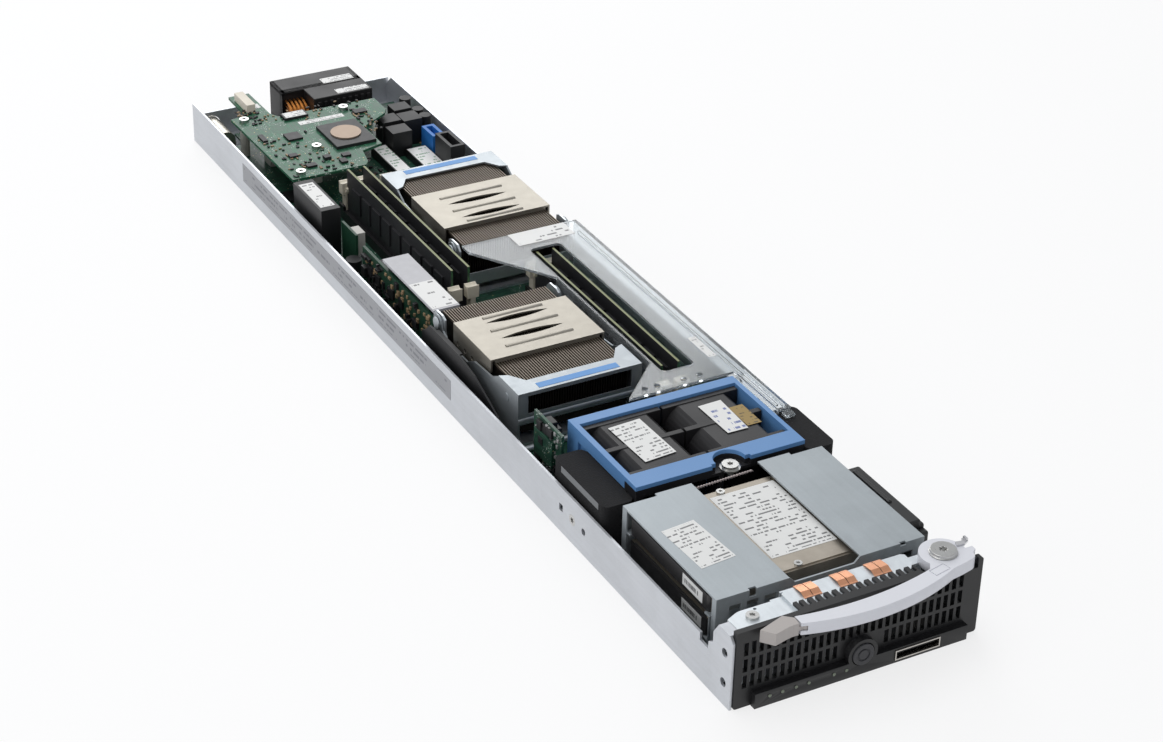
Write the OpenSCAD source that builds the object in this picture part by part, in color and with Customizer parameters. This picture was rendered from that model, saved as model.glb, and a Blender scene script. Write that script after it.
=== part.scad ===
// Half-height server blade with its lid off: a sheet steel tray that holds a
// slotted bezel with an ejector lever, a two-drive cage, a fan unit, two
// processors under clamped heatsinks, four memory modules and a mezzanine card.
// Millimetres. +X is right as seen from the front, +Y runs to the rear, +Z is up.
// The origin is under the middle of the whole blade, on the surface it stands on.

/* [Blade] */
// Outside width of the tray
blade_w = 129.4; // [127:0.1:132]
// Overall length, from the lever's bow to the tray's rear edge
blade_len = 639; // [632:1:660]
// Height of the bezel
bezel_h = 40.7; // [40.5:0.1:43]
// Height of the left wall
left_wall_h = 24.5; // [22:0.5:28]
// Height of the right wall
right_wall_h = 19.5; // [16:0.5:24]
// Thickness of the tray's sheet steel
sheet_t = 1.2; // [1:0.1:1.6]

/* [Bezel] */
// Width of one air slot
slot_w = 2.3; // [1.8:0.1:2.6]
// Distance from one slot to the next
slot_pitch = 3.85; // [3.6:0.05:4.2]
// Height of one air slot
slot_h = 6.8; // [5:0.2:7.2]
// Diameter of the power button
button_d = 11; // [9:0.5:12]

/* [Lever] */
// How far the lever bows out in front of the bezel
lever_reach = 12.7; // [10:0.1:14]
// Radius of the lever's outer curve
lever_outer_r = 117.3; // [110:0.5:125]
// Depth of the lever's rim
lever_rim_h = 6.2; // [5:0.1:6.2]

/* [Drives] */
// Length of a 2.5-inch drive
drive_len = 100.35; // [100:0.05:100.5]
// Width of a 2.5-inch drive
drive_w = 69.85; // [69.6:0.05:70.1]
// Height of a 2.5-inch drive
drive_h = 9.5; // [7:0.5:9.5]

/* [Fans] */
// Width of one fan housing
fan_w = 42; // [40:0.5:42]
// Length of one double-rotor fan housing
fan_len = 48; // [44:0.5:48]
// Height of one fan housing
fan_h = 36.4; // [34:0.2:36.6]
// Diameter swept by a rotor
rotor_d = 33; // [30:0.5:33]
// Blades on one rotor
rotor_blades = 7; // [5:1:9]

/* [Processors] */
// Fins on one heatsink
fin_count = 42; // [24:1:46]
// Thickness of one fin
fin_t = 0.5; // [0.4:0.1:0.7]
// Width of one heatsink
heatsink_w = 59; // [54:0.5:60]
// Length of one heatsink
heatsink_len = 88; // [80:0.5:88]

/* [Memory] */
// Length of a memory module
module_len = 133.35; // [133:0.05:133.5]
// Height of a memory module
module_h = 30; // [28:0.5:31]
// Distance between two modules
module_pitch = 9.8; // [9.2:0.1:10.4]

/* [Hidden] */
$fn = 48;
EPS = 0.01;

// Colours of the materials
zinc = [0.80, 0.83, 0.85];
cage_zinc = [0.66, 0.70, 0.72];
black = [0.07, 0.07, 0.08];
dark_grey = [0.20, 0.20, 0.21];
lever_grey = [0.88, 0.88, 0.92];
tip_beige = [0.68, 0.65, 0.63];
copper = [0.90, 0.55, 0.40];
board_green = [0.05, 0.22, 0.14];
mezz_green = [0.16, 0.42, 0.32];
frame_blue = [0.33, 0.52, 0.75];
nickel = [0.74, 0.70, 0.64];
fin_bronze = [0.30, 0.26, 0.23];
ivory = [0.88, 0.84, 0.76];
clear = [0.85, 0.88, 0.90, 0.4];
steel = [0.72, 0.72, 0.72];

// Levels that the pieces stand on
floor_z = sheet_t;
board_t = 1.6;
board_z = floor_z + 3.5;
board_top = board_z + board_t;

// The bezel's front face; every place along the blade is counted back from it
face_y = -blade_len / 2 + lever_reach;
tray_len = blade_len - lever_reach;
function back(d) = face_y + d;

// A box given by its span in x, its span behind the bezel's face, and its span in z
module block(x, y, z) {
  translate([x[0], back(y[0]), z[0]])
    cube([x[1] - x[0], y[1] - y[0], z[1] - z[0]]);
}

// An upright cylinder
module post(x, y, z, r) {
  translate([x, back(y), z[0]]) cylinder(h = z[1] - z[0], r = r);
}

// A cylinder that lies along X
module pin_x(x, y, z, r) {
  translate([x[0], back(y), z]) rotate([0, 90, 0]) cylinder(h = x[1] - x[0], r = r);
}

// A cylinder that lies along Y
module pin_y(x, y, z, r) {
  translate([x, back(y[0]), z]) rotate([-90, 0, 0]) cylinder(h = y[1] - y[0], r = r);
}

// A flat sheet lying at height z, from an outline drawn with y behind the bezel
module sheet_at(z, t) {
  translate([0, face_y, z]) linear_extrude(t) children();
}

// A sheet that stands across the blade, from an outline drawn in x and z
module wall_across(y, t) {
  translate([0, back(y + t), 0]) rotate([90, 0, 0]) linear_extrude(t) children();
}

// A sheet that stands along the blade, from an outline drawn in y and z
module wall_along(x, t) {
  translate([x, face_y, 0]) rotate([90, 0, 90]) linear_extrude(t) children();
}

// A rectangle with round corners
module round_rect(size, r) {
  translate([r, r]) square([size.x - 2 * r, size.y - 2 * r]);
  for (x = [r, size.x - r], y = [r, size.y - r]) translate([x, y]) circle(r);
  translate([0, r]) square([size.x, size.y - 2 * r]);
  translate([r, 0]) square([size.x - 2 * r, size.y]);
}

// A six-lobed recess for a star driver, cut down from z
module star_recess(x, y, z, r, depth) {
  translate([x, back(y), z - depth])
    for (a = [0:60:120]) rotate(a)
      translate([-r, -r * 0.28, 0]) cube([2 * r, r * 0.56, depth + 1]);
}

// ---------------------------------------------------------------- base tray
half_w = blade_w / 2;
flange_len = 16.5;
flange_h = 38;
flange_hole_y = 6.8;
flange_hole_z = [11.4, 27];
flange_hole_r = 2.2;
notch_y = [20, 27];
rear_wall_h = 17;
guide_x = -54;
guide_z = floor_z + 7;
wall_screw = [143, 12.8];

module base_tray() {
  color(zinc) {
    difference() {
      union() {
        block([-half_w, half_w], [3.2, tray_len], [0, floor_z]);
        left_wall();
        right_wall();
        block([-half_w, half_w], [tray_len - sheet_t, tray_len], [0, rear_wall_h]);
      }
      for (z = flange_hole_z) pin_x([-half_w - 1, -half_w + 3], flange_hole_y, z, flange_hole_r);
      pin_x([-half_w - 1, -half_w + 3], 132, wall_screw[1], 1.8);
      pin_x([-half_w - 1, -half_w + 3], wall_screw[0], wall_screw[1], 2.85);
      block([-half_w - 1, -half_w + 3], [152.3, 155.7], [11.6, 15.4]);
      // openings of the rear wall for the connector and the guide bush
      block([-27.5, 38.5], [tray_len - 3, tray_len + 1], [4.5, rear_wall_h + 1]);
      pin_y(guide_x, [tray_len - 3, tray_len + 1], guide_z, 6.4);
    }
  }
}

module left_wall() {
  wall_along(-half_w, sheet_t)
    polygon([
      [0.8, 0], [0.8, flange_h - 3], [3.4, flange_h], [flange_len - 4, flange_h],
      [flange_len, flange_h - 6], [flange_len, left_wall_h + 2], [notch_y[0], left_wall_h],
      [notch_y[0], left_wall_h - 4], [notch_y[1], left_wall_h - 4],
      [notch_y[1], left_wall_h], [tray_len, left_wall_h], [tray_len, 0]
    ]);
  // the flange's top is folded inwards over the bracket's leg
  block([-half_w, -half_w + 5], [3.4, flange_len - 4], [flange_h - sheet_t, flange_h]);
}

module right_wall() {
  wall_along(half_w - sheet_t, sheet_t)
    polygon([
      [3.2, 0], [3.2, right_wall_h - 3], [6.2, right_wall_h],
      [tray_len - 8, right_wall_h], [tray_len, right_wall_h - 7], [tray_len, 0]
    ]);
}

// ------------------------------------------------------------- front bezel
bezel_t = 3;
bezel_x = [-63.3, 64.4];
bezel_low_top = 35.6;
band_x = [-54.5, 57];
band_proud = 3.5;
band_h = 8;
button_x = 0.7;
button_z = 11;
slot_rows = [10.4, 19, 27.6];
slot_first_x = -58.3;
slot_count = 30;
io_x = [18, 42];
io_z = [1.8, 6.9];
lip_t = 1.4;
lip_rear = 4.6;
tooth_len = 4.4;
tooth_w = 2.2;
tooth_x = [-27, 33];

// The lever's plan is two arcs, the inner one flatter than the outer one
lever_outer_c = [-0.7, lever_outer_r - lever_reach];
lever_inner_r = 163.4;
lever_inner_c = [-6.2, lever_inner_r - 4.4];
pivot = [48.5, 9];
hub_r = 11;
rim_sweep_r = 16;
sweep_gap = 0.6;

module bezel_outline() {
  difference() {
    translate([bezel_x[0], 0.2]) round_rect([bezel_x[1] - bezel_x[0], bezel_h - 0.2], 1.5);
    // the lever sweeps over this part of the top edge
    translate([28.5, bezel_low_top]) square([33.2, 10]);
  }
}

module bezel_slots() {
  for (i = [0:slot_count - 1], z = slot_rows) {
    x = slot_first_x + i * slot_pitch;
    clear_of_button = norm([x - button_x, z + slot_h / 2 - button_z]) > button_d / 2 + 5.2;
    if (clear_of_button) translate([x - slot_w / 2, z]) square([slot_w, slot_h]);
  }
}

module front_bezel() {
  color(black) difference() {
    union() {
      wall_across(0, bezel_t) difference() { bezel_outline(); bezel_slots(); }
      bezel_band();
      // returns at both ends, and the ledge that rests in the tray
      block([bezel_x[0], bezel_x[0] + 2], [0, 9], [1.4, 36.4]);
      block([61.2, 63.3], [0, 12], [1.4, 34]);
      block([-49.5, 42], [bezel_t - EPS, 10], [floor_z, floor_z + 1.6]);
      bezel_lip();
    }
    // room for the button, the connector and the flange's screws
    pin_y(button_x, [-band_proud - 3, 12], button_z, button_d / 2 + 0.4);
    block([io_x[0] - 0.05, io_x[1] + 0.05], [-band_proud - 1, 11], [io_z[0] - 0.05, io_z[1] + 0.05]);
    for (z = flange_hole_z) pin_x([bezel_x[0] - 1, bezel_x[0] + 4], flange_hole_y, z, flange_hole_r + 0.8);
    light_pipe_places() pin_y(0, [-band_proud - 1, bezel_t + 1], 0, 0.85);
  }
}

module bezel_band() {
  block(band_x, [-band_proud, EPS], [0.2, band_h]);
  pin_y(button_x, [-band_proud, EPS], button_z, button_d / 2 + 2.2);
}

// The top lip follows the lever's inner arc and ends in a comb of teeth
module bezel_lip() {
  sheet_at(bezel_h - lip_t, lip_t) intersection() {
    union() {
      translate([-30, 0]) square([67, lip_rear]);
      translate([-30, 0]) square([1.8, lip_rear + tooth_len]);
      for (x = [tooth_x[0]:4.2:tooth_x[1]])
        translate([x, lip_rear - EPS]) square([tooth_w, tooth_len]);
    }
    difference() {
      translate(lever_inner_c) circle(lever_inner_r - sweep_gap, $fn = 180);
      translate(pivot) circle(rim_sweep_r);
    }
  }
  // the part of the top edge that lies under the front bracket's left end
  block([bezel_x[0], -29.9], [0, 3], [bezel_h - 2.4, bezel_h]);
}

// ------------------------------------------------------- status light pipes
light_x = [-47, -40.5, -33.5, -27, -14, -7.5];
module light_pipe_places() {
  for (x = light_x) translate([x, 0, 5]) children();
}

module status_light_pipes() {
  color([0.62, 0.75, 0.55]) light_pipe_places() {
    pin_y(0, [-band_proud - 0.2, bezel_t + 2], 0, 0.8);
    pin_y(0, [bezel_t + 0.3, bezel_t + 2], 0, 1.3);
  }
}

// ------------------------------------------------------------- power button
button_travel = 1.5;
module power_button() {
  cap_r = button_d / 2;
  color(dark_grey) difference() {
    union() {
      pin_y(button_x, [-band_proud - 0.6, 3.8], button_z, cap_r);
      pin_y(button_x, [3.4, 4.6], button_z, cap_r + 1.3);
      pin_y(button_x, [4.6, 6.2], button_z, 2);
    }
    // ring groove in the cap's face
    difference() {
      pin_y(button_x, [-band_proud - 1, -band_proud], button_z, cap_r - 2.2);
      pin_y(button_x, [-band_proud - 1, -band_proud], button_z, cap_r - 3);
    }
  }
}

// ------------------------------------------------------ local I/O connector
module io_connector_shell() {
  shell_t = 0.6;
  color(steel) difference() {
    union() {
      block(io_x, [-band_proud - 0.5, 10.5], io_z);
      block([io_x[0] + 2, io_x[1] - 2], [10, 16], [floor_z + 1.6, io_z[1] - 1]);
    }
    block([io_x[0] + shell_t, io_x[1] - shell_t], [-band_proud - 1, 9.5],
          [io_z[0] + shell_t, io_z[1] - shell_t]);
  }
}

module io_connector_core() {
  color(black) {
    block([io_x[0] + 2, io_x[1] - 2], [-band_proud + 1.5, 9.5], [io_z[0] + 1.9, io_z[1] - 1.9]);
    block([io_x[0] + 0.6, io_x[1] - 0.6], [6, 9.5], [io_z[0] + 0.6, io_z[1] - 0.6]);
  }
}

// ------------------------------------------------------------ front bracket
plate_t = 1;
mid_plate_top = bezel_h - lip_t - 0.1;
left_plate_top = mid_plate_top - 1.2;
platform_top = 37.2;
bracket_rear = 20;

module front_bracket() {
  color(zinc) difference() {
    union() {
      // left part, stepped down beside the middle part
      sheet_at(left_plate_top - plate_t, plate_t)
        polygon([[-59.5, 4], [-57.5, 3.4], [-29, 3.4], [-29, 18], [-36, 18], [-36, 17],
                 [-52, 17], [-54, 16.5], [-59.5, 14]]);
      block([-30, -29], [3.4, 18], [left_plate_top - plate_t, mid_plate_top]);
      // middle part under the comb, with clipped rear corners
      sheet_at(mid_plate_top - plate_t, plate_t)
        polygon([[-30, 3.4], [26, 3.4], [32, 9.2], [35, 13], [35, 19], [33, bracket_rear],
                 [-27, bracket_rear], [-30, 18]]);
      // platform for the lever's pivot, and the post that carries it
      sheet_at(platform_top - plate_t, plate_t) {
        translate(pivot) circle(10);
        translate([34, 13]) square([14, 5.5]);
      }
      block([34, 35], [13, 18.5], [platform_top - plate_t, mid_plate_top]);
      post(pivot.x, pivot.y, [floor_z, platform_top - EPS], 5);
      // legs down to the tray
      block([-59.5, -58.5], [4, 14], [floor_z, left_plate_top]);
      block([-59.5, -50], [4, 14], [floor_z, floor_z + plate_t]);
      block([-30, -22], [bracket_rear - 1, bracket_rear], [floor_z, mid_plate_top]);
      block([26, 33], [bracket_rear - 1, bracket_rear], [floor_z, mid_plate_top]);
      // turned-down rear edge
      block([-27, 33], [bracket_rear - 1, bracket_rear], [mid_plate_top - 4, mid_plate_top]);
    }
    post(pivot.x, pivot.y, [platform_top - 12, platform_top + 1], 2.6);
    post(-49, 11, [left_plate_top - 3, left_plate_top + 1], 1.6);
    post(-45, 15.4, [left_plate_top - 3, left_plate_top + 1], 0.8);
  }
}

// ---------------------------------------------------------- EMI spring fingers
finger_x = [-18.2, 0.4, 18.2];
finger_w = 4.3;
finger_t = 0.35;

module emi_fingers() {
  rear = bracket_rear + finger_t;
  color(copper) for (x = finger_x, side = [-1, 1])
    translate([0, 0, mid_plate_top])
      wall_along(x + side * (finger_w / 2 + 0.2) - finger_w / 2, finger_w)
        polygon([
          [10.4, 0], [10.4, finger_t], [11.3, finger_t], [14, 1.4], [18.6, 0.8],
          [rear, finger_t], [rear, -4.4], [bracket_rear, -4.4], [bracket_rear, 0],
          [18.6, 0.45], [14, 1.05], [11.5, 0]
        ]);
}

// --------------------------------------------------------------- ejector lever
lever_top = 42.2;
rim_low = lever_top - lever_rim_h;
hub_low = platform_top + 0.4;
lever_left_x = -36;
tip_pin = [-33, -5.2];
tip_pin_r = 0.9;
fork_z = [37.9, 40.5];
fork_gap = 0.3;
pivot_shaft_r = 3.2;
running_gap = 0.06;

module lever_arc() {
  intersection() {
    difference() {
      translate(lever_outer_c) circle(lever_outer_r, $fn = 240);
      translate(lever_inner_c) circle(lever_inner_r, $fn = 240);
    }
    translate([lever_left_x, -20]) square([84, 40]);
  }
}

// The rim round the hub ends in a blunt corner beside the bezel's end
module lever_rim() {
  intersection() {
    translate(pivot) circle(15.4);
    polygon([[40, -5.2], [46, -3], [52, -2], [58.1, -0.5], [59.7, 0.4], [60.7, 3.3],
             [63.1, 4.9], [63.1, 7.5], [59, 7.5], [48, 12], [40, 2]]);
  }
}

module lever_hub() {
  translate(pivot) circle(hub_r);
  polygon([[39, 5.6], [36, 1], [44, -3], [58, 2], [52, 8]]);
}

module ejector_lever() {
  color(lever_grey) {
    difference() {
      union() {
        sheet_at(rim_low, lever_rim_h) difference() {
          union() { lever_arc(); lever_rim(); }
          translate(pivot) circle(hub_r - 0.1);
        }
        sheet_at(hub_low, lever_top - hub_low) lever_hub();
      }
      post(pivot.x, pivot.y, [hub_low - 1, lever_top + 1], pivot_shaft_r + running_gap);
      // fork for the release tip's tongue
      sheet_at(fork_z[0], fork_z[1] - fork_z[0]) {
        translate(tip_pin) circle(2.7);
        translate([lever_left_x - 1, tip_pin.y - 4]) square([tip_pin.x - lever_left_x + 1, 8]);
      }
      lever_groove();
    }
    post(tip_pin.x, tip_pin.y, [fork_z[0] - EPS, fork_z[1] + EPS], tip_pin_r);
  }
}

// A shallow rectangular groove in the lever's top, near the hub
module lever_groove() {
  translate([39.6, back(-1.2), lever_top - 0.35]) rotate(12) difference() {
    translate([-4.6, -2.4, 0]) cube([9.2, 4.8, 1]);
    translate([-4.2, -2, -1]) cube([8.4, 4, 3]);
  }
}

// The release tip hangs in front of the bezel; only its thin top reaches over it
module lever_release_tip() {
  body = [[-54.3, -3.4], [-49.7, -9], [-46.5, -8.2], [-43, -7.3], [-40, -6.8],
          [-36.9, -6.9], [-36.5, -2.4], [-40.5, 1.1]];
  thin_low = bezel_h + 0.4;
  color(tip_beige) difference() {
    union() {
      sheet_at(rim_low, thin_low - rim_low + EPS) intersection() {
        polygon(body);
        translate([-60, -20]) square([40, 19.4]);
      }
      sheet_at(thin_low, lever_top - thin_low) polygon(body);
      sheet_at(fork_z[0] + fork_gap, fork_z[1] - fork_z[0] - 2 * fork_gap) {
        translate(tip_pin) circle(2.3);
        translate([-37, tip_pin.y - 1.6]) square([4, 3.2]);
      }
    }
    post(tip_pin.x, tip_pin.y, [fork_z[0] - 1, fork_z[1] + 1], tip_pin_r + running_gap);
  }
}

module lever_pivot_screw() {
  head_low = lever_top + 0.15;
  color(steel) difference() {
    union() {
      post(pivot.x, pivot.y, [platform_top - 10, platform_top + EPS], 2.5);
      post(pivot.x, pivot.y, [platform_top, head_low + EPS], pivot_shaft_r);
      post(pivot.x, pivot.y, [head_low, head_low + 0.5], 6.6);
      post(pivot.x, pivot.y, [head_low + 0.5 - EPS, lever_top + 2], 6.1);
    }
    star_recess(pivot.x, pivot.y, lever_top + 2, 1.9, 1.4);
  }
}

// The steel hook that draws the blade into its enclosure
module lever_hook() {
  color(zinc) {
    sheet_at(lever_top, 1)
      polygon([[56.4, 10], [60.2, 9.1], [63.2, 10.7], [63.2, 13.4], [61.4, 13.4],
               [60.4, 11.8], [57.2, 12.4]]);
    block([62.2, 63.2], [10.8, 13.4], [lever_top + 1 - EPS, lever_top + 2]);
  }
}

// ------------------------------------------------------------------ drive cage
cage_x = [-57, 52];
cage_y = [27.5, 110.5];
cage_top = 38.5;
cage_t = 1;
left_flap_x = -19.5;
right_flap_x = 17.5;
drive_x = [-55.5, -55.5 + drive_len];
drive_y = [35.5, 35.5 + drive_w];
drive_levels = [13, 26.2];

module drive_cage() {
  color(cage_zinc) difference() {
    union() {
      block(cage_x, cage_y, [floor_z, floor_z + cage_t]);
      sheet_at(cage_top - cage_t, cage_t) {
        polygon([[cage_x[0], cage_y[0]], [left_flap_x, cage_y[0]], [left_flap_x, 112],
                 [-39, 112], [-39, 109.9], [cage_x[0], 109.9]]);
        polygon([[right_flap_x, cage_y[0]], [cage_x[1], cage_y[0]], [cage_x[1], 112],
                 [35, 112], [35, 114], [right_flap_x, 114]]);
      }
      // front wall, lowered between the flaps
      wall_across(cage_y[0], cage_t)
        polygon([[cage_x[0], floor_z], [cage_x[0], cage_top], [left_flap_x, cage_top],
                 [left_flap_x + 3, 35.4], [right_flap_x - 3, 35.4], [right_flap_x, cage_top],
                 [cage_x[1], cage_top], [cage_x[1], floor_z]]);
      // rear wall, low between its two ends
      wall_across(cage_y[1] - 1.6, cage_t)
        polygon([[cage_x[0], floor_z], [cage_x[0], cage_top - 0.5], [-52, cage_top - 0.5],
                 [-50, 12], [45, 12], [47, cage_top - 0.5], [cage_x[1], cage_top - 0.5],
                 [cage_x[1], floor_z]]);
      block([cage_x[1] - cage_t, cage_x[1]], cage_y, [floor_z, cage_top]);
      // posts of the open left side
      block([cage_x[0], cage_x[0] + cage_t], [cage_y[0], 31], [floor_z, cage_top]);
      block([cage_x[0], cage_x[0] + cage_t], [106, 109.9], [floor_z, cage_top]);
      drive_ledges();
    }
    // notches of the flaps' front edges and the air slots of the front wall
    block([-40, -36.4], [cage_y[0] - 1, 29.2], [34.6, cage_top + 1]);
    block([39, 42], [cage_y[0] - 1, 28.8], [cage_top - 1.5, cage_top + 1]);
    for (x = [-50:9:43]) block([x, x + 6], [cage_y[0] - 1, cage_y[0] + 2], [6, 33]);
  }
}

// Ledges that carry the drives' long edges, on a web at the front and one at the rear
module drive_ledges() {
  inner = [cage_x[0] + cage_t / 2, cage_x[1] - cage_t / 2];
  for (z = drive_levels, y = [drive_y[0] - 2.4, drive_y[1] - 2])
    block(inner, [y, y + 4.4], [z - 1, z]);
  for (y = [drive_y[0] - 2.4, drive_y[1] + 1.4])
    block(inner, [y, y + 1], [floor_z, drive_levels[1] - 0.5]);
}

// ---------------------------------------------------------------------- drives
lid_t = 0.8;
drive_board_t = 1;

module drive(z) {
  color(nickel) {
    difference() {
      sheet_at(z, drive_h - lid_t)
        translate([drive_x[0], drive_y[0]]) round_rect([drive_len, drive_w], 2);
      sheet_at(z - 1, 2.7) drive_board_outline();
    }
    sheet_at(z + 1.7 - drive_board_t, drive_board_t + EPS) drive_board_outline();
    // stamped lid with a rim that is set back from the casting's edge
    sheet_at(z + drive_h - lid_t - EPS, lid_t + EPS) difference() {
      translate([drive_x[0] + 1, drive_y[0] + 1]) round_rect([drive_len - 2, drive_w - 2], 3);
      for (x = [drive_x[0] + 20, drive_x[0] + 74])
        translate([x, drive_y[1] - 3.5]) circle(1.3);
    }
  }
}

// The drive's circuit board lies in a pocket of its underside
module drive_board_outline() {
  polygon([[drive_x[0] + 5, drive_y[0] + 6], [drive_x[1] - 5, drive_y[0] + 6],
           [drive_x[1] - 5, drive_y[1] - 6], [drive_x[0] + 22, drive_y[1] - 6],
           [drive_x[0] + 5, drive_y[1] - 18]]);
}

module upper_drive() { drive(drive_levels[1]); }
module lower_drive() { drive(drive_levels[0]); }

module drive_connector_block() {
  color(black) difference() {
    union() {
      sheet_at(floor_z, 31) translate([53, 38]) round_rect([9.8, 55], 1.5);
      sheet_at(floor_z + 31 - EPS, 3.8)
        polygon([[53, 42], [60, 42], [62.8, 46], [62.8, 88], [58, 93], [53, 93]]);
    }
    for (y = [50:8:82]) block([57, 60], [y, y + 4], [34, 37]);
  }
}

// -------------------------------------------------------------------- fan unit
frame_x = [-45.5, 46.5];
frame_y = [118, 184];
frame_top = 40;
frame_open_x = [-42.4, 44];
frame_open_y = [128.9, 177.9];
frame_base_t = 1;
captive = [6, 119.4];
captive_ledge = 35.2;

fan_y = [(frame_open_y[0] + frame_open_y[1] - fan_len) / 2,
         (frame_open_y[0] + frame_open_y[1] + fan_len) / 2];
fan_mid_y = (fan_y[0] + fan_y[1]) / 2;
fan_bottom = floor_z + frame_base_t;
fan_top = fan_bottom + fan_h;
fan_axis_z = fan_bottom + fan_h / 2;
fan_axis_x = [frame_open_x[0] + 0.6 + fan_w / 2, frame_open_x[1] - 0.6 - fan_w / 2];
rotor_len = 15;
rotor_gap = 0.8;
rotor_y = [fan_y[0] + 3, fan_y[1] - 3 - rotor_len];
hub_w_r = 9;
axle_r = 1.5;
blade_angle = 38;

module fan_frame() {
  color(frame_blue) difference() {
    block(frame_x, frame_y, [floor_z, frame_top]);
    block(frame_open_x, frame_open_y, [floor_z + frame_base_t, frame_top + 1]);
    // air way through the front and rear walls
    for (x = fan_axis_x)
      block([x - fan_w / 2 + 0.8, x + fan_w / 2 - 0.8], [frame_y[0] - 1, frame_y[1] + 1],
            [floor_z + 2, frame_top - 6.5]);
    // recesses of the two sides, where the foam blocks press
    block([frame_x[0] - 1, frame_x[0] + 1.6], [126, 173.5], [floor_z + 6, 33.4]);
    block([frame_x[1] - 1.2, frame_x[1] + 1], [124, 176], [floor_z + 6, 33.4]);
    // scallop round the captive screw
    post(captive.x, captive.y + 0.6, [captive_ledge, frame_top + 1], 8);
    block([captive.x - 10.5, captive.x + 10.5], [frame_y[0] - 1, frame_y[0] + 1.4],
          [captive_ledge, frame_top + 1]);
    post(captive.x, captive.y, [captive_ledge - 6, captive_ledge + 1], 2.2);
  }
}

module fan_housing(x) {
  flange = 3.2;
  half = fan_w / 2;
  color(black) {
    difference() {
      union() {
        // the round barrel, flattened where it reaches the square of the flanges
        intersection() {
          pin_y(x, fan_y, fan_axis_z, half + 0.8);
          block([x - half + 0.6, x + half - 0.6], fan_y, [fan_bottom + 0.4, fan_top - 0.4]);
        }
        for (y = [fan_y[0], fan_mid_y - flange / 2, fan_y[1] - flange])
          block([x - half, x + half], [y, y + flange], [fan_bottom, fan_top]);
      }
      pin_y(x, [fan_y[0] - 1, fan_y[1] + 1], fan_axis_z, rotor_d / 2 + rotor_gap);
    }
    fan_spider(x);
  }
}

// Four struts in the middle of the fan carry the axle of both rotors
module fan_spider(x) {
  reach = rotor_d / 2 + rotor_gap + 0.5;
  pin_y(x, [fan_mid_y - 3, fan_mid_y + 3], fan_axis_z, hub_w_r + 0.5);
  for (a = [45:90:315])
    translate([x, back(fan_mid_y - 1.5), fan_axis_z]) rotate([0, a, 0])
      translate([-1.2, 0, 5]) cube([2.4, 3, reach - 5]);
  pin_y(x, [rotor_y[0] + 2, rotor_y[1] + rotor_len - 2], fan_axis_z, axle_r);
}

module fan_rotor(x, y, twist) {
  span = [y, y + rotor_len];
  color(dark_grey) difference() {
    union() {
      pin_y(x, span, fan_axis_z, hub_w_r);
      intersection() {
        pin_y(x, span, fan_axis_z, rotor_d / 2);
        for (i = [0:rotor_blades - 1])
          translate([x, back(y + rotor_len / 2), fan_axis_z])
            rotate([0, i * 360 / rotor_blades, 0]) rotate([0, 0, twist])
              translate([-0.6, -12, hub_w_r - 1]) cube([1.2, 24, rotor_d]);
      }
    }
    pin_y(x, [rotor_y[0] + 1.8, rotor_y[1] + rotor_len - 1.8], fan_axis_z,
          axle_r + running_gap);
  }
}

module fan_housing_left() { fan_housing(fan_axis_x[0]); }
module fan_housing_right() { fan_housing(fan_axis_x[1]); }
module fan_rotor_left_front() { fan_rotor(fan_axis_x[0], rotor_y[0], blade_angle); }
module fan_rotor_left_rear() { fan_rotor(fan_axis_x[0], rotor_y[1], -blade_angle); }
module fan_rotor_right_front() { fan_rotor(fan_axis_x[1], rotor_y[0], blade_angle); }
module fan_rotor_right_rear() { fan_rotor(fan_axis_x[1], rotor_y[1], -blade_angle); }

module fan_isolator_left() {
  color(black) {
    sheet_at(floor_z, 31.8) translate([-61.6, 118.4]) round_rect([15.9, 49.6], 3);
    block([-50, -44.3], [127, 165], [floor_z + 6.5, floor_z + 31.8]);
  }
}

module fan_isolator_right() {
  color(black) sheet_at(floor_z, 34.8) translate([46.7, 114.6]) round_rect([15.6, 38], 4);
}

module fan_captive_screw() {
  color(steel) difference() {
    union() {
      post(captive.x, captive.y, [captive_ledge - 5, captive_ledge + EPS], 2.1);
      post(captive.x, captive.y, [captive_ledge, captive_ledge + 0.8], 5);
      post(captive.x, captive.y, [captive_ledge + 0.8 - EPS, captive_ledge + 2.4], 4);
    }
    star_recess(captive.x, captive.y, captive_ledge + 2.4, 1.5, 1.1);
  }
}

// ------------------------------------------------------------- processor units
// Both units are the same; the rear one is turned round. Their own y runs from
// the bail's pivot, with the bail reaching towards -y.
unit_x = [-20.4, 20.6];
unit_pivot_y = [307, 374];
bail_pivot_z = 33;
fin_base_z = [12.5, 16];
fin_top = 36.8;
heatsink_rear = 3.5;
heatsink_front = heatsink_rear - heatsink_len;
ear_x = 32.3;
arm_x = 33.6;
bail_t = 1;
rivet_r = 2;
bail_front = -90;
bail_top = 38.3;
plate_front = -55.7;
plate_rear = -13.7;
clamp_plate_top = 39.2;

module unit_place(i) {
  translate([unit_x[i], back(unit_pivot_y[i]), 0]) rotate(i == 0 ? 0 : 180) children();
}

module cell(x, y, z) {
  translate([x[0], y[0], z[0]]) cube([x[1] - x[0], y[1] - y[0], z[1] - z[0]]);
}

// A sheet in the plane across x, from an outline drawn in the unit's y and z
module side_sheet(x, t) {
  translate([x, 0, 0]) rotate([90, 0, 90]) linear_extrude(t) children();
}

module cross_pin(x, y, z, r) {
  translate([x[0], y, z]) rotate([0, 90, 0]) cylinder(h = x[1] - x[0], r = r);
}

module processor() {
  mid = (heatsink_front + heatsink_rear) / 2;
  color([0.62, 0.64, 0.62]) {
    cell([-25, 25], [mid - 25, mid + 25], [board_top, board_top + 2]);
    cell([-19, 19], [mid - 19, mid + 19], [board_top + 2 - EPS, fin_base_z[0]]);
  }
}

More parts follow.
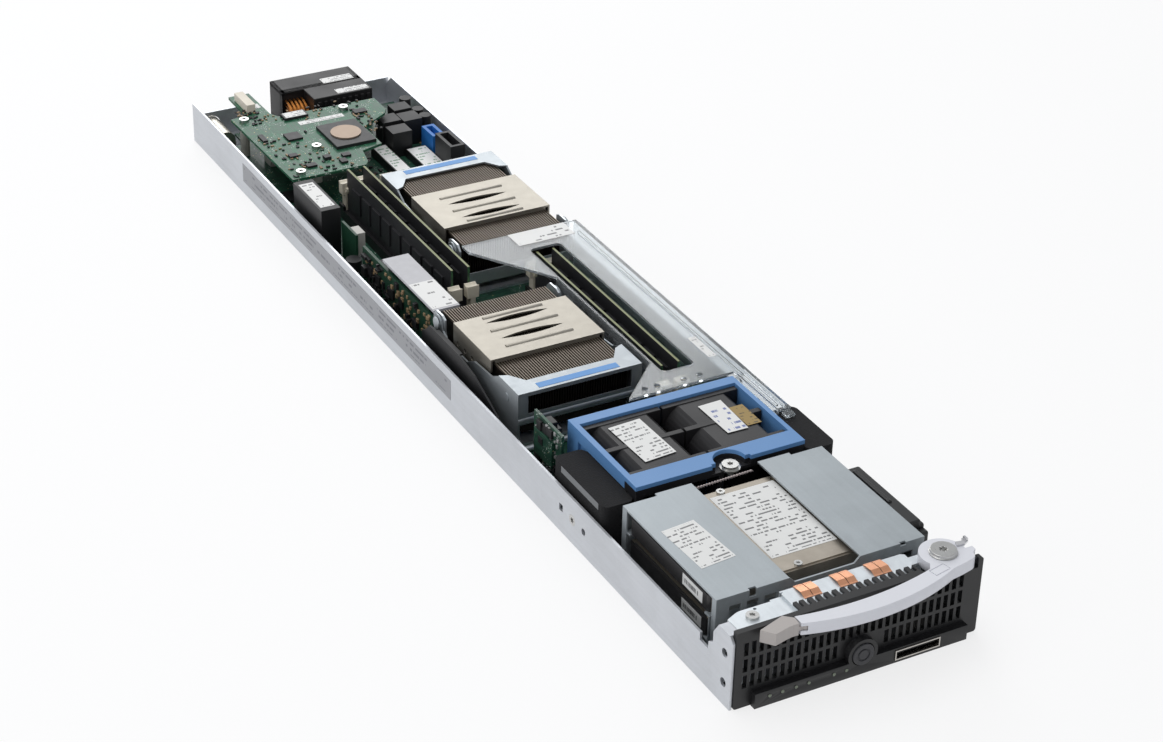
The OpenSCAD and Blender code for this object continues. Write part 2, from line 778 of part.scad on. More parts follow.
module socket_frame() {
  mid = (heatsink_front + heatsink_rear) / 2;
  color(zinc) {
    difference() {
      cell([-33.3, 33.3], [-87, 7], [board_top, board_top + 1.5]);
      cell([-25.4, 25.4], [mid - 25.4, mid + 25.4], [board_top - 1, board_top + 3]);
    }
    for (side = [0, 1]) mirror([side, 0, 0]) {
      side_sheet(ear_x, 1)
        polygon([[-9, board_top], [-9, 24], [-6, 30], [-6, 36.8], [-3, 38], [4, 38],
                 [7, 35], [7, board_top]]);
      // low flange along the side, and the rivet that the bail turns on
      side_sheet(ear_x, 1)
        polygon([[-87, board_top], [-87, 10], [-9, 12], [-9, board_top]]);
      cross_pin([ear_x + 1 - EPS, arm_x + bail_t + 0.3], 0, bail_pivot_z, rivet_r);
      cross_pin([arm_x + bail_t + 0.3 - EPS, arm_x + bail_t + 1], 0, bail_pivot_z, 3.2);
    }
    // rolled rails across both ends
    cross_pin([-33, 33], -92.6, 8, 1.6);
    for (x = [-33.3, 31.3]) cell([x, x + 2], [-92.6, -87 + EPS], [board_top, board_top + 1.5]);
    cell([-ear_x - EPS, ear_x + EPS], [6, 7], [13, 20]);
  }
}

module heatsink() {
  pitch = (heatsink_w - fin_t) / (fin_count - 1);
  color(fin_bronze)
    translate([0, heatsink_rear, 0]) rotate([90, 0, 0]) linear_extrude(heatsink_len) {
      translate([-heatsink_w / 2, fin_base_z[0]])
        square([heatsink_w, fin_base_z[1] - fin_base_z[0]]);
      for (i = [0:fin_count - 1])
        translate([-heatsink_w / 2 + i * pitch, fin_base_z[1] - EPS])
          square([fin_t, fin_top - fin_base_z[1] + EPS]);
    }
}

module bail_arm_outline() {
  difference() {
    union() {
      polygon([[bail_front, 12], [bail_front, bail_top], [-70, bail_top], [-61, 33.5],
               [-42, 32], [-34, 27.5], [-12, 27.5], [-6, 31], [-4, 36], [4, 34],
               [4, 29], [-4, 24], [-12, 20], [-42, 22], [-80, 11]]);
      translate([0, bail_pivot_z]) circle(4.6);
    }
    translate([0, bail_pivot_z]) circle(rivet_r + 0.05);
  }
}

module clamp_bail() {
  w = arm_x + bail_t;
  color(zinc) {
    difference() {
      union() {
        for (side = [0, 1]) mirror([side, 0, 0]) {
          side_sheet(arm_x, bail_t) bail_arm_outline();
          // folded gusset in the corner, and the stud in the arm's front
          translate([0, 0, bail_top - bail_t]) linear_extrude(bail_t)
            polygon([[24, -80], [w, -80], [w, -69], [30, -71]]);
          cross_pin([w - EPS, w + 0.5], -78, 31, 2.2);
        }
        cell([-w, w], [bail_front, -79], [bail_top - bail_t, bail_top]);
        cell([-w, w], [bail_front, bail_front + bail_t], [20.5, bail_top]);
      }
      // the front wall is open over a round rail
      cell([-29, 29], [bail_front - 1, bail_front + bail_t + 1], [26, 36.2]);
    }
    cross_pin([-w + EPS, w - EPS], bail_front + 1.4, 22.6, 2.1);
  }
}

module lens_slot(y) {
  r = 70;
  rise = 2.3;
  translate([0, y]) intersection() {
    translate([0, r - rise]) circle(r, $fn = 120);
    translate([0, rise - r]) circle(r, $fn = 120);
  }
}

module clamp_plate() {
  w = ear_x - 0.1;
  t = 1;
  low = 26;
  lip = fin_top;
  color([0.80, 0.76, 0.68]) difference() {
    union() {
      translate([0, 0, clamp_plate_top - t]) linear_extrude(t) difference() {
        translate([-w, plate_front]) square([2 * w, plate_rear - plate_front]);
        lens_slot(-21.5);
        lens_slot(-38.5);
      }
      for (y = [plate_front, plate_rear - t])
        cell([-heatsink_w / 2, heatsink_w / 2], [y, y + t], [lip, clamp_plate_top]);
      for (side = [0, 1]) mirror([side, 0, 0])
        cell([w - t, w], [plate_front, plate_rear], [low, clamp_plate_top]);
      for (y = [-30, -46.5]) cross_pin([-19, 19], y, clamp_plate_top - 0.8, 1.4);
      cross_pin([-17, 17], -16.6, clamp_plate_top - 0.8, 1.4);
    }
    for (y = [-19, -27, -35]) cross_pin([-w - 1, w + 1], y, 29.5, 1.3);
    for (side = [0, 1]) mirror([side, 0, 0])
      side_sheet(w - t - 1, t + 2)
        polygon([[plate_front - 1, low - 1], [plate_front - 1, 33], [plate_front + 8, low - 1]]);
  }
}

module front_processor() { unit_place(0) processor(); }
module front_socket_frame() { unit_place(0) socket_frame(); }
module front_heatsink() { unit_place(0) heatsink(); }
module front_clamp_bail() { unit_place(0) clamp_bail(); }
module front_clamp_plate() { unit_place(0) clamp_plate(); }
module rear_processor() { unit_place(1) processor(); }
module rear_socket_frame() { unit_place(1) socket_frame(); }
module rear_heatsink() { unit_place(1) heatsink(); }
module rear_clamp_bail() { unit_place(1) clamp_bail(); }
module rear_clamp_plate() { unit_place(1) clamp_plate(); }

// ---------------------------------------------------------------------- memory
// Two pairs of modules, one left of the rear processor, one right of the front one
module_t = 1.3;
module_foot = 8;
pair_y = [412, 277.6];
pair_x = [[-23 - module_pitch / 2, -23 + module_pitch / 2],
          [26.9 - module_pitch / 2, 26.9 + module_pitch / 2]];
slots = [[pair_x[0][0], pair_y[0]], [pair_x[0][1], pair_y[0]],
         [pair_x[1][0], pair_y[1]], [pair_x[1][1], pair_y[1]]];
half_module = module_len / 2;
socket_w = 6.6;
socket_h = 6;
cheek_z = 15;
latch_w = 3;
latch_pin_z = 11;
latch_pin_y = half_module + 3.4;
latch_pin_r = 0.8;
notch_z = module_foot + 17;

module memory_sockets() {
  top = board_top + socket_h;
  end = half_module + 6.5;
  color(black) for (s = slots) translate([s.x, back(s.y), 0]) {
    difference() {
      union() {
        cell([-socket_w / 2, socket_w / 2], [-half_module - 1, half_module + 1], [board_top, top]);
        for (side = [0, 1]) mirror([0, side, 0])
          cell([-socket_w / 2, socket_w / 2], [half_module + 0.3, end], [board_top, cheek_z]);
      }
      cell([-module_t / 2 - 0.1, module_t / 2 + 0.1], [-half_module - 0.2, half_module + 0.2],
           [module_foot - 0.1, cheek_z + 1]);
      for (side = [0, 1]) mirror([0, side, 0])
        cell([-latch_w / 2 - 0.35, latch_w / 2 + 0.35], [half_module + 0.1, end + 1],
             [board_top + 1.2, cheek_z + 1]);
    }
    for (side = [0, 1]) mirror([0, side, 0])
      cross_pin([-socket_w / 2 + EPS, socket_w / 2 - EPS], latch_pin_y, latch_pin_z, latch_pin_r);
  }
}

module memory_modules() {
  chip_t = 1.1;
  color(board_green) for (s = slots) translate([s.x, back(s.y), 0]) {
    difference() {
      cell([-module_t / 2, module_t / 2], [-half_module, half_module],
           [module_foot, module_foot + module_h]);
      for (side = [-1, 1])
        cross_pin([-module_t, module_t], side * half_module, notch_z, 2.3);
      cell([-module_t, module_t], [-4.5, -2.5], [module_foot - 1, module_foot + 3]);
    }
    for (i = [-4:4], side = [-1, 1])
      cell([side * (module_t + chip_t) / 2 - chip_t / 2 - EPS, side * (module_t + chip_t) / 2 + chip_t / 2 + EPS],
           [i * 13.2 - 5.2, i * 13.2 + 5.2], [module_foot + 9, module_foot + 22]);
  }
}

// A latch stands at a module's end; its nib holds the notch in the module's edge
module latch(i, end) {
  top = 29;
  dir = end == "front" ? 1 : 0;
  color(ivory) translate([slots[i].x, back(slots[i].y), 0]) mirror([0, dir, 0]) difference() {
    union() {
      side_sheet(-latch_w / 2, latch_w)
        polygon([[half_module + 0.6, 10.4], [half_module + 0.6, notch_z - 1.3],
                 [half_module - 0.9, notch_z - 0.9], [half_module - 0.9, notch_z + 0.9],
                 [half_module + 0.6, notch_z + 1.3], [half_module + 0.6, top - 1],
                 [half_module + 5.4, top - 1], [half_module + 5.4, 17],
                 [half_module + 5.8, 9.4], [half_module + 2, 9.4]]);
      cell([-socket_w / 2, socket_w / 2], [half_module + 0.9, half_module + 5.8], [22, top]);
    }
    cross_pin([-latch_w, latch_w], latch_pin_y, latch_pin_z, latch_pin_r + running_gap);
    // thumb groove across the latch's top
    cross_pin([-socket_w, socket_w], half_module + 3.4, top + 1.4, 2.2);
  }
}

module latch_1_front() { latch(0, "front"); }
module latch_1_rear() { latch(0, "rear"); }
module latch_2_front() { latch(1, "front"); }
module latch_2_rear() { latch(1, "rear"); }
module latch_3_front() { latch(2, "front"); }
module latch_3_rear() { latch(2, "rear"); }
module latch_4_front() { latch(3, "front"); }
module latch_4_rear() { latch(3, "rear"); }

// ------------------------------------------------------------------- air guides
baffle_top = 39.7;
baffle_t = 1.4;
baffle_low = baffle_top - baffle_t;
baffle_right = 57;
baffle_left = 16.6;
baffle_front_y = 187.8;
baffle_rear_y = 365;

module air_baffle() {
  color(clear) {
    difference() {
      sheet_at(baffle_low, baffle_t) difference() {
        polygon([[-9.8, baffle_front_y], [49.5, baffle_front_y], [49.5, 147],
                 [baffle_right, 147], [baffle_right, baffle_rear_y], [-12.4, baffle_rear_y],
                 [-12.4, 357], [baffle_left, 312], [baffle_left, 213.6]]);
        // opening over the two memory modules
        translate([17.9, 203]) round_rect([18.6, 142.5], 3);
      }
      for (x = [2, 9, 24, 33]) post(x, 193, [baffle_low - 1, baffle_top + 1], 1.6);
    }
    // raised ridge along the right edge
    block([50.4, 51.6], [150, baffle_rear_y - 14], [baffle_top - EPS, baffle_top + 1]);
    // walls down to the board
    block([baffle_left, baffle_left + baffle_t], [213.6, 312], [board_top, baffle_low + EPS]);
    block([baffle_right - baffle_t, baffle_right], [190, baffle_rear_y],
          [board_top, baffle_low + EPS]);
    block([49.5, 49.5 + baffle_t], [148, 186], [36.4, baffle_low + EPS]);
    block([baffle_right - baffle_t, baffle_right], [147, 190 + EPS], [36.4, baffle_low + EPS]);
    // lug at the front end
    block([52, baffle_right], [143, 147 + EPS], [36.4, 38.2]);
  }
}

module air_duct_plate() {
  color(dark_grey) {
    wall_along(-60, 1)
      polygon([[229, board_top], [229, 20], [255, 30], [273, 33], [306, 33], [311, 28],
               [315, 26], [315, board_top]]);
    block([-60, -57.4], [273, 300], [32, 33]);
    block([-60, -57], [232, 312], [board_top, board_top + 1]);
  }
}

// ----------------------------------------------------------------- main board
board_x = [-62, 62];
board_y = [186, 612];
standoff_at = [[-58.5, 198], [-58, 345], [-58.5, 507], [-57, 588], [59.4, 204],
               [59.4, 352], [59.4, 469], [57, 603]];
standoff_r = 3;

module main_board() {
  color(board_green) sheet_at(board_z, board_t) difference() {
    polygon([[board_x[0], board_y[0]], [board_x[1], board_y[0]], [board_x[1], board_y[1]],
             [-44, board_y[1]], [-44, 596], [board_x[0], 596]]);
    for (p = standoff_at) translate(p) circle(1.7);
  }
}

module board_standoffs() {
  color(steel) for (p = standoff_at) difference() {
    post(p.x, p.y, [floor_z, board_z], standoff_r);
    post(p.x, p.y, [board_z - 2.8, board_z + 1], 1.3);
  }
}

module board_chips() {
  color(black) {
    for (c = [[-46, 332, 11, 12, 1.6], [0, 322, 14, 14, 2], [-50, 512, 9, 12, 1.6],
              [-37, 540, 14, 14, 2], [20, 486, 10, 14, 1.6], [36, 484, 12, 9, 1.4],
              [-8, 346, 10, 6, 1.4], [14, 566, 10, 10, 1.8], [-8, 196, 16, 10, 1.8],
              [22, 192, 14, 9, 1.6]])
      block([c[0], c[0] + c[2]], [c[1], c[1] + c[3]], [board_top, board_top + c[4]]);
    // two tall modules with flat tops
    block([17.5, 27], [509, 548], [board_top, 12]);
    block([35.5, 48.5], [511, 538], [board_top, 11.4]);
  }
}

module board_power_parts() {
  can_r = 3.5;
  color(dark_grey) {
    for (c = [[28, 539, 12.5, 11, 16], [41, 551, 12, 12, 16.5], [28, 553, 12, 11, 17],
              [41.5, 566, 11.5, 10, 17]])
      block([c[0], c[0] + c[2]], [c[1], c[1] + c[3]], [board_top, board_top + c[4]]);
    for (p = [[56.5, 583], [57, 566], [57, 556]]) post(p.x, p.y, [board_top, 22], can_r);
    for (y = [318, 330]) block([-14, -4], [y, y + 9], [board_top, board_top + 7]);
    for (y = [478, 492]) block([51, 60], [y - 0.5, y + 6], [board_top, board_top + 8]);
    post(-54, 414, [board_top, 18], 4.4);
    for (y = [522, 532, 542]) post(-59, y, [board_top, 15], 2.6);
  }
}

module board_connectors() {
  color(frame_blue) difference() {
    block([50, 58], [530, 546], [board_top, 20]);
    block([52, 56], [532, 544], [16, 21]);
  }
  color(black) difference() {
    block([48.5, 58], [503, 524], [board_top, 25]);
    block([50.5, 56], [505, 522], [19, 26]);
  }
  color(ivory) {
    for (y = [486, 560]) difference() {
      block([-61, -57], [y, y + 12], [board_top, 15]);
      block([-60, -58], [y + 1, y + 11], [11, 16]);
    }
    block([5, 13], [500, 509], [board_top, 14]);
  }
}

// ------------------------------------------------------------ mezzanine board
mezz_z = 26.4;
mezz_top = mezz_z + board_t;
mezz_posts = [[-49, 582], [-24.6, 531], [11, 573], [-46, 504]];

module mezzanine_board() {
  color(mezz_green) sheet_at(mezz_z, board_t) difference() {
    polygon([[-53.4, 498.4], [-8, 498.4], [-5, 502], [-2, 516], [12, 520], [12, 545],
             [31, 557], [34, 562], [34, 579], [-28, 580], [-31, 586], [-31.5, 618],
             [-44.5, 618], [-45, 590], [-55, 588]]);
    for (p = mezz_posts) translate(p) circle(1.7);
  }
}

module mezzanine_parts() {
  color(steel) for (p = mezz_posts) post(p.x, p.y, [board_top, mezz_z], 2.8);
  color(black) {
    sheet_at(mezz_top, 2) translate([-15, 523]) square([25, 31]);
    sheet_at(mezz_top, 1.6) translate([-27, 572]) square([15, 7.6]);
    for (p = [[-44, 524, 5, 4], [-36, 545, 9, 9], [-40, 508, 6, 4], [-16, 512, 5, 4],
              [14, 562, 8, 5], [-50, 550, 3, 9], [-20, 505, 4, 5]])
      sheet_at(mezz_top, 1.3) translate([p[0], p[1]]) square([p[2], p[3]]);
    // connector below, down to the main board
    block([-42, -18], [560, 570], [board_top, mezz_z]);
  }
  color(nickel) post(-2.7, 538.4, [mezz_top + 2, mezz_top + 2.8], 9);
  color(ivory) {
    block([-43, -37.6], [592, 612], [mezz_top, mezz_top + 5]);
    block([-27, -23], [513, 517], [mezz_top, mezz_top + 2]);
  }
}

// ---------------------------------------------------------------- other boards
module power_modules() {
  // converter card that stands at the left, with its cooling plate on top
  color(board_green) block([-52.6, -51], [317, 405], [board_top, 30]);
  color(dark_grey) {
    for (y = [322, 342, 362]) block([-51, -42], [y, y + 14], [12, 26]);
    block([-55.5, -49], [316, 330], [board_top, 11]);
    block([-50, -42], [382, 400], [9, 22]);
  }
  color([0.70, 0.70, 0.72]) block([-52.6, -37.5], [316.5, 379], [33, 34.4]);
  color(dark_grey) for (y = [324, 370]) block([-51.5, -44], [y, y + 4], [25, 33]);
  // closed converter and a small card beside it
  color(black) block([-60, -48.5], [443, 482], [board_top, 35]);
  color(board_green) block([-49.4, -48], [421, 440], [board_top, 28]);
  color(steel) block([-48, -42.4], [424, 433], [13, 27]);
}

module riser_card() {
  color(board_green) block([-53, -51.6], [176, 204], [9, 37]);
  color(black) {
    block([-56, -48.6], [186.4, 206], [board_top, 9]);
    for (z = [14, 22]) block([-51.6, -49.6], [180, 192], [z, z + 6]);
    block([-55, -53], [182, 200], [16, 30]);
  }
}

module rear_connector() {
  color(black) difference() {
    union() {
      block([-26, 37], [585, 612], [board_top, 34]);
      block([-27, 38], [608, 626], [board_top, 36]);
    }
    block([-23, 34], [611, 627], [board_top + 4, 33]);
    for (x = [-20:6:28]) block([x, x + 3], [584, 587], [board_top + 3, 30]);
  }
  color(fin_bronze) for (x = [-20:3:31], z = [12, 16, 20, 24, 28])
    block([x, x + 0.8], [610.5, 620], [z, z + 0.8]);
}

module guide_bush() {
  color(steel) difference() {
    union() {
      pin_y(guide_x, [600, tray_len], guide_z, 6);
      block([guide_x - 7, guide_x + 7], [602, 622], [floor_z, guide_z - 2]);
    }
    pin_y(guide_x, [606, tray_len + 1], guide_z, 3);
  }
}

// ---------------------------------------------------------------- small screws
module screw_up(x, y, z, r, h) {
  difference() {
    post(x, y, [z, z + h], r);
    star_recess(x, y, z + h, r * 0.45, h * 0.6);
  }
}

module small_screws() {
  color(steel) {
    // flush screw of the left wall, which holds the foam block
    difference() {
      union() {
        pin_x([-half_w, -half_w + sheet_t], wall_screw[0], wall_screw[1], 2.8);
        pin_x([-half_w + sheet_t - EPS, -half_w + 2.9], wall_screw[0], wall_screw[1], 1.5);
      }
      for (a = [0:60:120])
        translate([-half_w - 1, back(wall_screw[0]), wall_screw[1]]) rotate([a, 0, 0])
          translate([0, -1.4, -0.4]) cube([1.8, 2.8, 0.8]);
    }
    screw_up(-49, 11, left_plate_top, 3, 1.2);
    post(-49, 11, [left_plate_top - 4, left_plate_top + EPS], 1.5);
    for (p = [[-9.3, drive_y[1] - 2.6], [-8.3, drive_y[0] + 2.6]])
      screw_up(p.x, p.y, drive_levels[1] + drive_h, 2, 0.9);
    for (p = standoff_at) {
      screw_up(p.x, p.y, board_top, 2.3, 1.4);
      post(p.x, p.y, [board_z - 2.6, board_top + EPS], 1.25);
    }
    for (p = mezz_posts) {
      screw_up(p.x, p.y, mezz_top, 2.8, 2);
      post(p.x, p.y, [mezz_z, mezz_top + EPS], 1.6);
    }
  }
}

base_tray();
small_screws();
front_bracket();
front_bezel();
emi_fingers();
ejector_lever();
lever_release_tip();
lever_pivot_screw();
lever_hook();
power_button();
io_connector_shell();
io_connector_core();
status_light_pipes();
main_board();
board_chips();
board_power_parts();
board_connectors();
board_standoffs();
drive_cage();
upper_drive();
lower_drive();
drive_connector_block();
fan_frame();
fan_housing_left();
fan_housing_right();
fan_rotor_left_front();
fan_rotor_left_rear();
fan_rotor_right_front();
fan_rotor_right_rear();
fan_isolator_left();
fan_isolator_right();
fan_captive_screw();
front_processor();
front_socket_frame();
front_heatsink();
front_clamp_bail();
front_clamp_plate();
rear_processor();
rear_socket_frame();
rear_heatsink();
rear_clamp_bail();
rear_clamp_plate();
memory_sockets();
memory_modules();
latch_1_front();
latch_1_rear();
latch_2_front();
latch_2_rear();
latch_3_front();
latch_3_rear();
latch_4_front();
latch_4_rear();
air_baffle();
air_duct_plate();
mezzanine_board();
mezzanine_parts();
power_modules();
riser_card();
rear_connector();
guide_bush();
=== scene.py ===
import math
import random

import bmesh
import bpy
from mathutils import Matrix, Vector


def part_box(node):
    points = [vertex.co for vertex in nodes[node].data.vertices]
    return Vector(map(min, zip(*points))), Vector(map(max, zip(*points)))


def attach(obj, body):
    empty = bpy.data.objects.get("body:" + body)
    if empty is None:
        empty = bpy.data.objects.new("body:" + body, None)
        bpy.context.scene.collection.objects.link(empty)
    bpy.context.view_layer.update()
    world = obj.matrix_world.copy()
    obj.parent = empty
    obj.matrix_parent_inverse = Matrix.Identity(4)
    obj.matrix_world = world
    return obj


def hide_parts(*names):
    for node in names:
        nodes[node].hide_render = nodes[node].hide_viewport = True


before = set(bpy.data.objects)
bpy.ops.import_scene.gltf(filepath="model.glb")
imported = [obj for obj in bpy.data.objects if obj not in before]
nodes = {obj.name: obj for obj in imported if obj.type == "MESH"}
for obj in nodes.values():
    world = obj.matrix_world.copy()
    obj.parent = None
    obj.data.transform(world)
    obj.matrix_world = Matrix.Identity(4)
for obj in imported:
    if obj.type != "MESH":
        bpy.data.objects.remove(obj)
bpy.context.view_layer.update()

# ---------------------------------------------------------------- camera and studio
# The blade lies on a white table under even, soft light. Every place below is in
# millimetres: x from the blade's middle, y back from the bezel's face, z up.
MM = 0.001
BAND_PROUD = 3.5
face_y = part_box("front_bezel")[0].y / MM + BAND_PROUD


def spot(x, y, z):
    return Vector((x, y + face_y, z)) * MM


azimuth, elevation, roll = (math.radians(a) for a in (-29.29, 30.72, 1.46))
ahead = Vector((-math.sin(azimuth) * math.cos(elevation),
                math.cos(azimuth) * math.cos(elevation), -math.sin(elevation)))
level_right = ahead.cross(Vector((0, 0, 1))).normalized()
level_up = level_right.cross(ahead)
right = level_right * math.cos(roll) + level_up * math.sin(roll)
up = level_up * math.cos(roll) - level_right * math.sin(roll)
camera = bpy.data.objects.new("camera", bpy.data.cameras.new("camera"))
camera.data.sensor_width = 36
camera.data.lens = 80.85
camera.data.clip_end = 50
turn = Matrix((right, up, -ahead)).transposed().to_4x4()
camera.matrix_world = Matrix.Translation(spot(-558.46, -742.66, 696.63)) @ turn
bpy.context.scene.collection.objects.link(camera)
bpy.context.scene.camera = camera
bpy.context.scene.view_settings.view_transform = "Standard"


class Link:
    """One output in a material; arithmetic on it adds Math nodes."""

    def __init__(self, finish, socket):
        self.finish, self.socket = finish, socket

    def math(self, operation, first, second):
        return self.finish.node("Math", {"operation": operation}, {0: first, 1: second})

    def __add__(self, other):
        return self.math("ADD", self, other)

    def __mul__(self, other):
        return self.math("MULTIPLY", self, other)

    def __sub__(self, other):
        return self.math("SUBTRACT", self, other)

    def __truediv__(self, other):
        return self.math("DIVIDE", self, other)

    def __mod__(self, other):
        return self.math("FLOORED_MODULO", self, other)

    def __pow__(self, other):
        return self.math("POWER", self, other)

    def __gt__(self, other):
        return self.math("GREATER_THAN", self, other)

    def __lt__(self, other):
        return self.math("LESS_THAN", self, other)

    __radd__, __rmul__ = __add__, __mul__


class Finish:
    """One material: a Principled shader whose sockets take values or links."""

    def __init__(self, name, **shader):
        self.material = bpy.data.materials.new(name)
        self.material.use_nodes = True
        self.tree = self.material.node_tree
        self.shader = self.tree.nodes["Principled BSDF"]
        self.set(**shader)

    def set(self, **shader):
        for name, value in shader.items():
            self.feed(self.shader.inputs[name.replace("_", " ")], value)

    def feed(self, socket, value):
        if isinstance(value, Link):
            self.tree.links.new(value.socket, socket)
        elif isinstance(value, tuple) and len(value) == 3 and socket.type == "RGBA":
            socket.default_value = (*value, 1)
        else:
            socket.default_value = value

    def node(self, kind, settings=None, inputs=None, out=0):
        made = self.tree.nodes.new("ShaderNode" + kind)
        for key, value in (settings or {}).items():
            if key == "stops":
                ramp = made.color_ramp.elements
                while len(ramp) < len(value):
                    ramp.new(1)
                for stop, (position, colour) in zip(ramp, value):
                    stop.position, stop.color = position, (*colour, 1)
            else:
                setattr(made, key, value)
        for key, value in (inputs or {}).items():
            self.feed(made.inputs[key], value)
        return Link(self, made.outputs[out])

    def place(self):
        """Where the surface point lies on the blade, in millimetres."""
        here = self.node("TexCoord", out="Object")
        return self.node("VectorMath", {"operation": "SCALE"}, {0: here, "Scale": 1 / MM})

    def axes(self, where=None):
        """x, y back from the bezel's face, and z of the surface point."""
        split = self.node("SeparateXYZ", None, {0: where or self.place()})
        x, y, z = (Link(self, split.socket.node.outputs[i]) for i in range(3))
        return x, y - face_y, z

    def noise(self, size, detail=2, where=None, stretch=(1, 1, 1)):
        """Soft noise whose lumps are about size millimetres across, from 0 to 1."""
        scaled = self.node("VectorMath", {"operation": "MULTIPLY"},
                           {0: where or self.place(), 1: tuple(s / size for s in stretch)})
        return self.node("TexNoise", None, {"Vector": scaled, "Scale": 1, "Detail": detail})

    def mix(self, share, first, second):
        return self.node("Mix", {"data_type": "RGBA"}, {0: share, 6: first, 7: second}, 2)

    def math_floor(self, value):
        return self.node("Math", {"operation": "FLOOR"}, {0: value})

    def bump(self, height, distance, strength=1):
        """Relief: height 1 stands distance millimetres above height 0."""
        return self.node("Bump", None, {"Height": height, "Distance": distance * MM,
                                        "Strength": strength})


def between(value, low, high):
    return (value > low) * (value < high)


def mesh_piece(name, bm, finish, smooth=0):
    """Turns a bmesh, drawn in metres, into an object with one material."""
    mesh = bpy.data.meshes.new(name)
    bm.to_mesh(mesh)
    bm.free()
    made = bpy.data.objects.new(name, mesh)
    bpy.context.scene.collection.objects.link(made)
    made.data.materials.append(finish.material)
    if smooth:
        mesh.shade_smooth()
        mesh.set_sharp_from_angle(angle=math.radians(smooth))
    return made


table_top = Finish("white_table", Base_Color=(0.93, 0.93, 0.94), Roughness=0.7)
ray = table_top.node("LightPath")
seen = Link(table_top, ray.socket.node.outputs["Is Camera Ray"])
mirrored = Link(table_top, ray.socket.node.outputs["Is Glossy Ray"])
through = Link(table_top, ray.socket.node.outputs["Is Transmission Ray"])
glow = table_top.node("Emission", None, {"Color": (1, 1, 1, 1), "Strength": 1})
lit = table_top.node("MixShader", None, {
    0: (seen + mirrored + through) * 0.75, 1: Link(table_top, table_top.shader.outputs[0]), 2: glow})
table_top.tree.links.new(lit.socket, table_top.tree.nodes["Material Output"].inputs[0])
bm = bmesh.new()
bmesh.ops.create_grid(bm, x_segments=1, y_segments=1, size=6)
table = mesh_piece("table", bm, table_top)

world = bpy.data.worlds.new("studio")
bpy.context.scene.world = world
world.use_nodes = True
world.node_tree.nodes["Background"].inputs[0].default_value = (0.95, 0.97, 1, 1)
world.node_tree.nodes["Background"].inputs[1].default_value = 0.55


def soft_lamp(name, where, aim, size, watts):
    lamp = bpy.data.objects.new(name, bpy.data.lights.new(name, "AREA"))
    lamp.data.shape = "RECTANGLE"
    lamp.data.size, lamp.data.size_y = size
    lamp.data.energy = watts
    lamp.location = where
    lamp.rotation_euler = (Vector(aim) - Vector(where)).to_track_quat("-Z", "Y").to_euler()
    bpy.context.scene.collection.objects.link(lamp)


soft_lamp("lamp_over", (-0.3, 0.3, 1.6), (0, 0.1, 0), (1.6, 1.2), 10)
soft_lamp("lamp_left", (-1.7, -0.4, 0.9), (0, 0, 0), (1.2, 0.8), 5)
soft_lamp("lamp_behind", (0.6, 1.7, 1.0), (0, 0.2, 0), (1.0, 0.8), 9)


# ------------------------------------------------------------------------ base tray
# The tray is bent from zinc-plated sheet steel: frosty light grey, with faint
# rolling streaks. Its tall left wall carries a wide grey strip with generic marks.
def tint(red, green, blue):
    """A colour as a screen shows it, 0 to 255, in the linear values materials take."""
    return tuple(((c / 255 + 0.055) / 1.055) ** 2.4 for c in (red, green, blue))


def plated(name, tone, metal=0.75, roughness=0.34, wear=1.0):
    """Zinc-plated sheet: small frost flowers, rolling streaks and fine specks."""
    zinc = Finish(name)
    flowers = zinc.node("VectorMath", {"operation": "SCALE"}, {0: zinc.place(), "Scale": 0.2})
    flake = zinc.node("RGBToBW", None, {0: zinc.node("TexVoronoi", None,
                                                     {"Vector": flowers, "Scale": 1.0}, "Color")})
    cloud, speck = zinc.noise(38, 3), zinc.noise(0.9, 2)
    streak = zinc.noise(2.4, 2, stretch=(1, 0.04, 1))
    share = (flake * 0.2 + cloud * 0.9 + streak * 0.5 + speck * 0.25 - 0.42) * wear + 0.1
    dark, bright = (tuple(min(1, c * k) for c in tone) for k in (0.8, 1.1))
    zinc.set(Base_Color=zinc.mix(share, dark, bright), Metallic=metal,
             Roughness=roughness + (flake * 0.08 + streak * 0.08 - 0.06) * wear,
             Normal=zinc.bump(speck * 0.5 + streak * 0.5, 0.02, 0.3))
    return zinc


def dress(finish, *names):
    for name in names:
        nodes[name].data.materials.clear()
        nodes[name].data.materials.append(finish.material)


def ease_edges(width, *names):
    """Rounds the sharp edges of CAD pieces a little, without touching their meshes."""
    for name in names:
        weld = nodes[name].modifiers.new("weld", "WELD")
        weld.merge_threshold = 0.00001
        flat = nodes[name].modifiers.new("flat", "DECIMATE")
        flat.decimate_type = "DISSOLVE"
        flat.angle_limit = math.radians(0.5)
        round_off = nodes[name].modifiers.new("round", "BEVEL")
        round_off.width = width * MM
        round_off.segments = 2
        round_off.limit_method = "ANGLE"
        round_off.angle_limit = math.radians(40)
        round_off.harden_normals = True


tray_zinc = plated("tray_zinc", tint(200, 203, 208), metal=0.6)
dress(tray_zinc, "base_tray")


def sticker(name, finish, corners, thickness=0.12, body="blade"):
    """A thin printed sheet, from its corners in the blade's millimetres, that stands
    off its surface along the corners' normal. Its own x runs along the first side."""
    points = [spot(*corner) for corner in corners]
    along = (points[1] - points[0]).normalized()
    normal = along.cross(points[2] - points[1]).normalized()
    across = normal.cross(along)
    frame_of = Matrix((along, across, normal)).transposed().to_4x4()
    frame_of.translation = points[0]
    local = frame_of.inverted()
    bm = bmesh.new()
    face = bm.faces.new([bm.verts.new(local @ p) for p in points])
    lifted = bmesh.ops.extrude_face_region(bm, geom=[face])["geom"]
    for vertex in (v for v in lifted if isinstance(v, bmesh.types.BMVert)):
        vertex.co.z += thickness * MM
    bmesh.ops.recalc_face_normals(bm, faces=bm.faces)
    made = mesh_piece(name, bm, finish)
    made.matrix_world = frame_of
    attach(made, body)
    return made


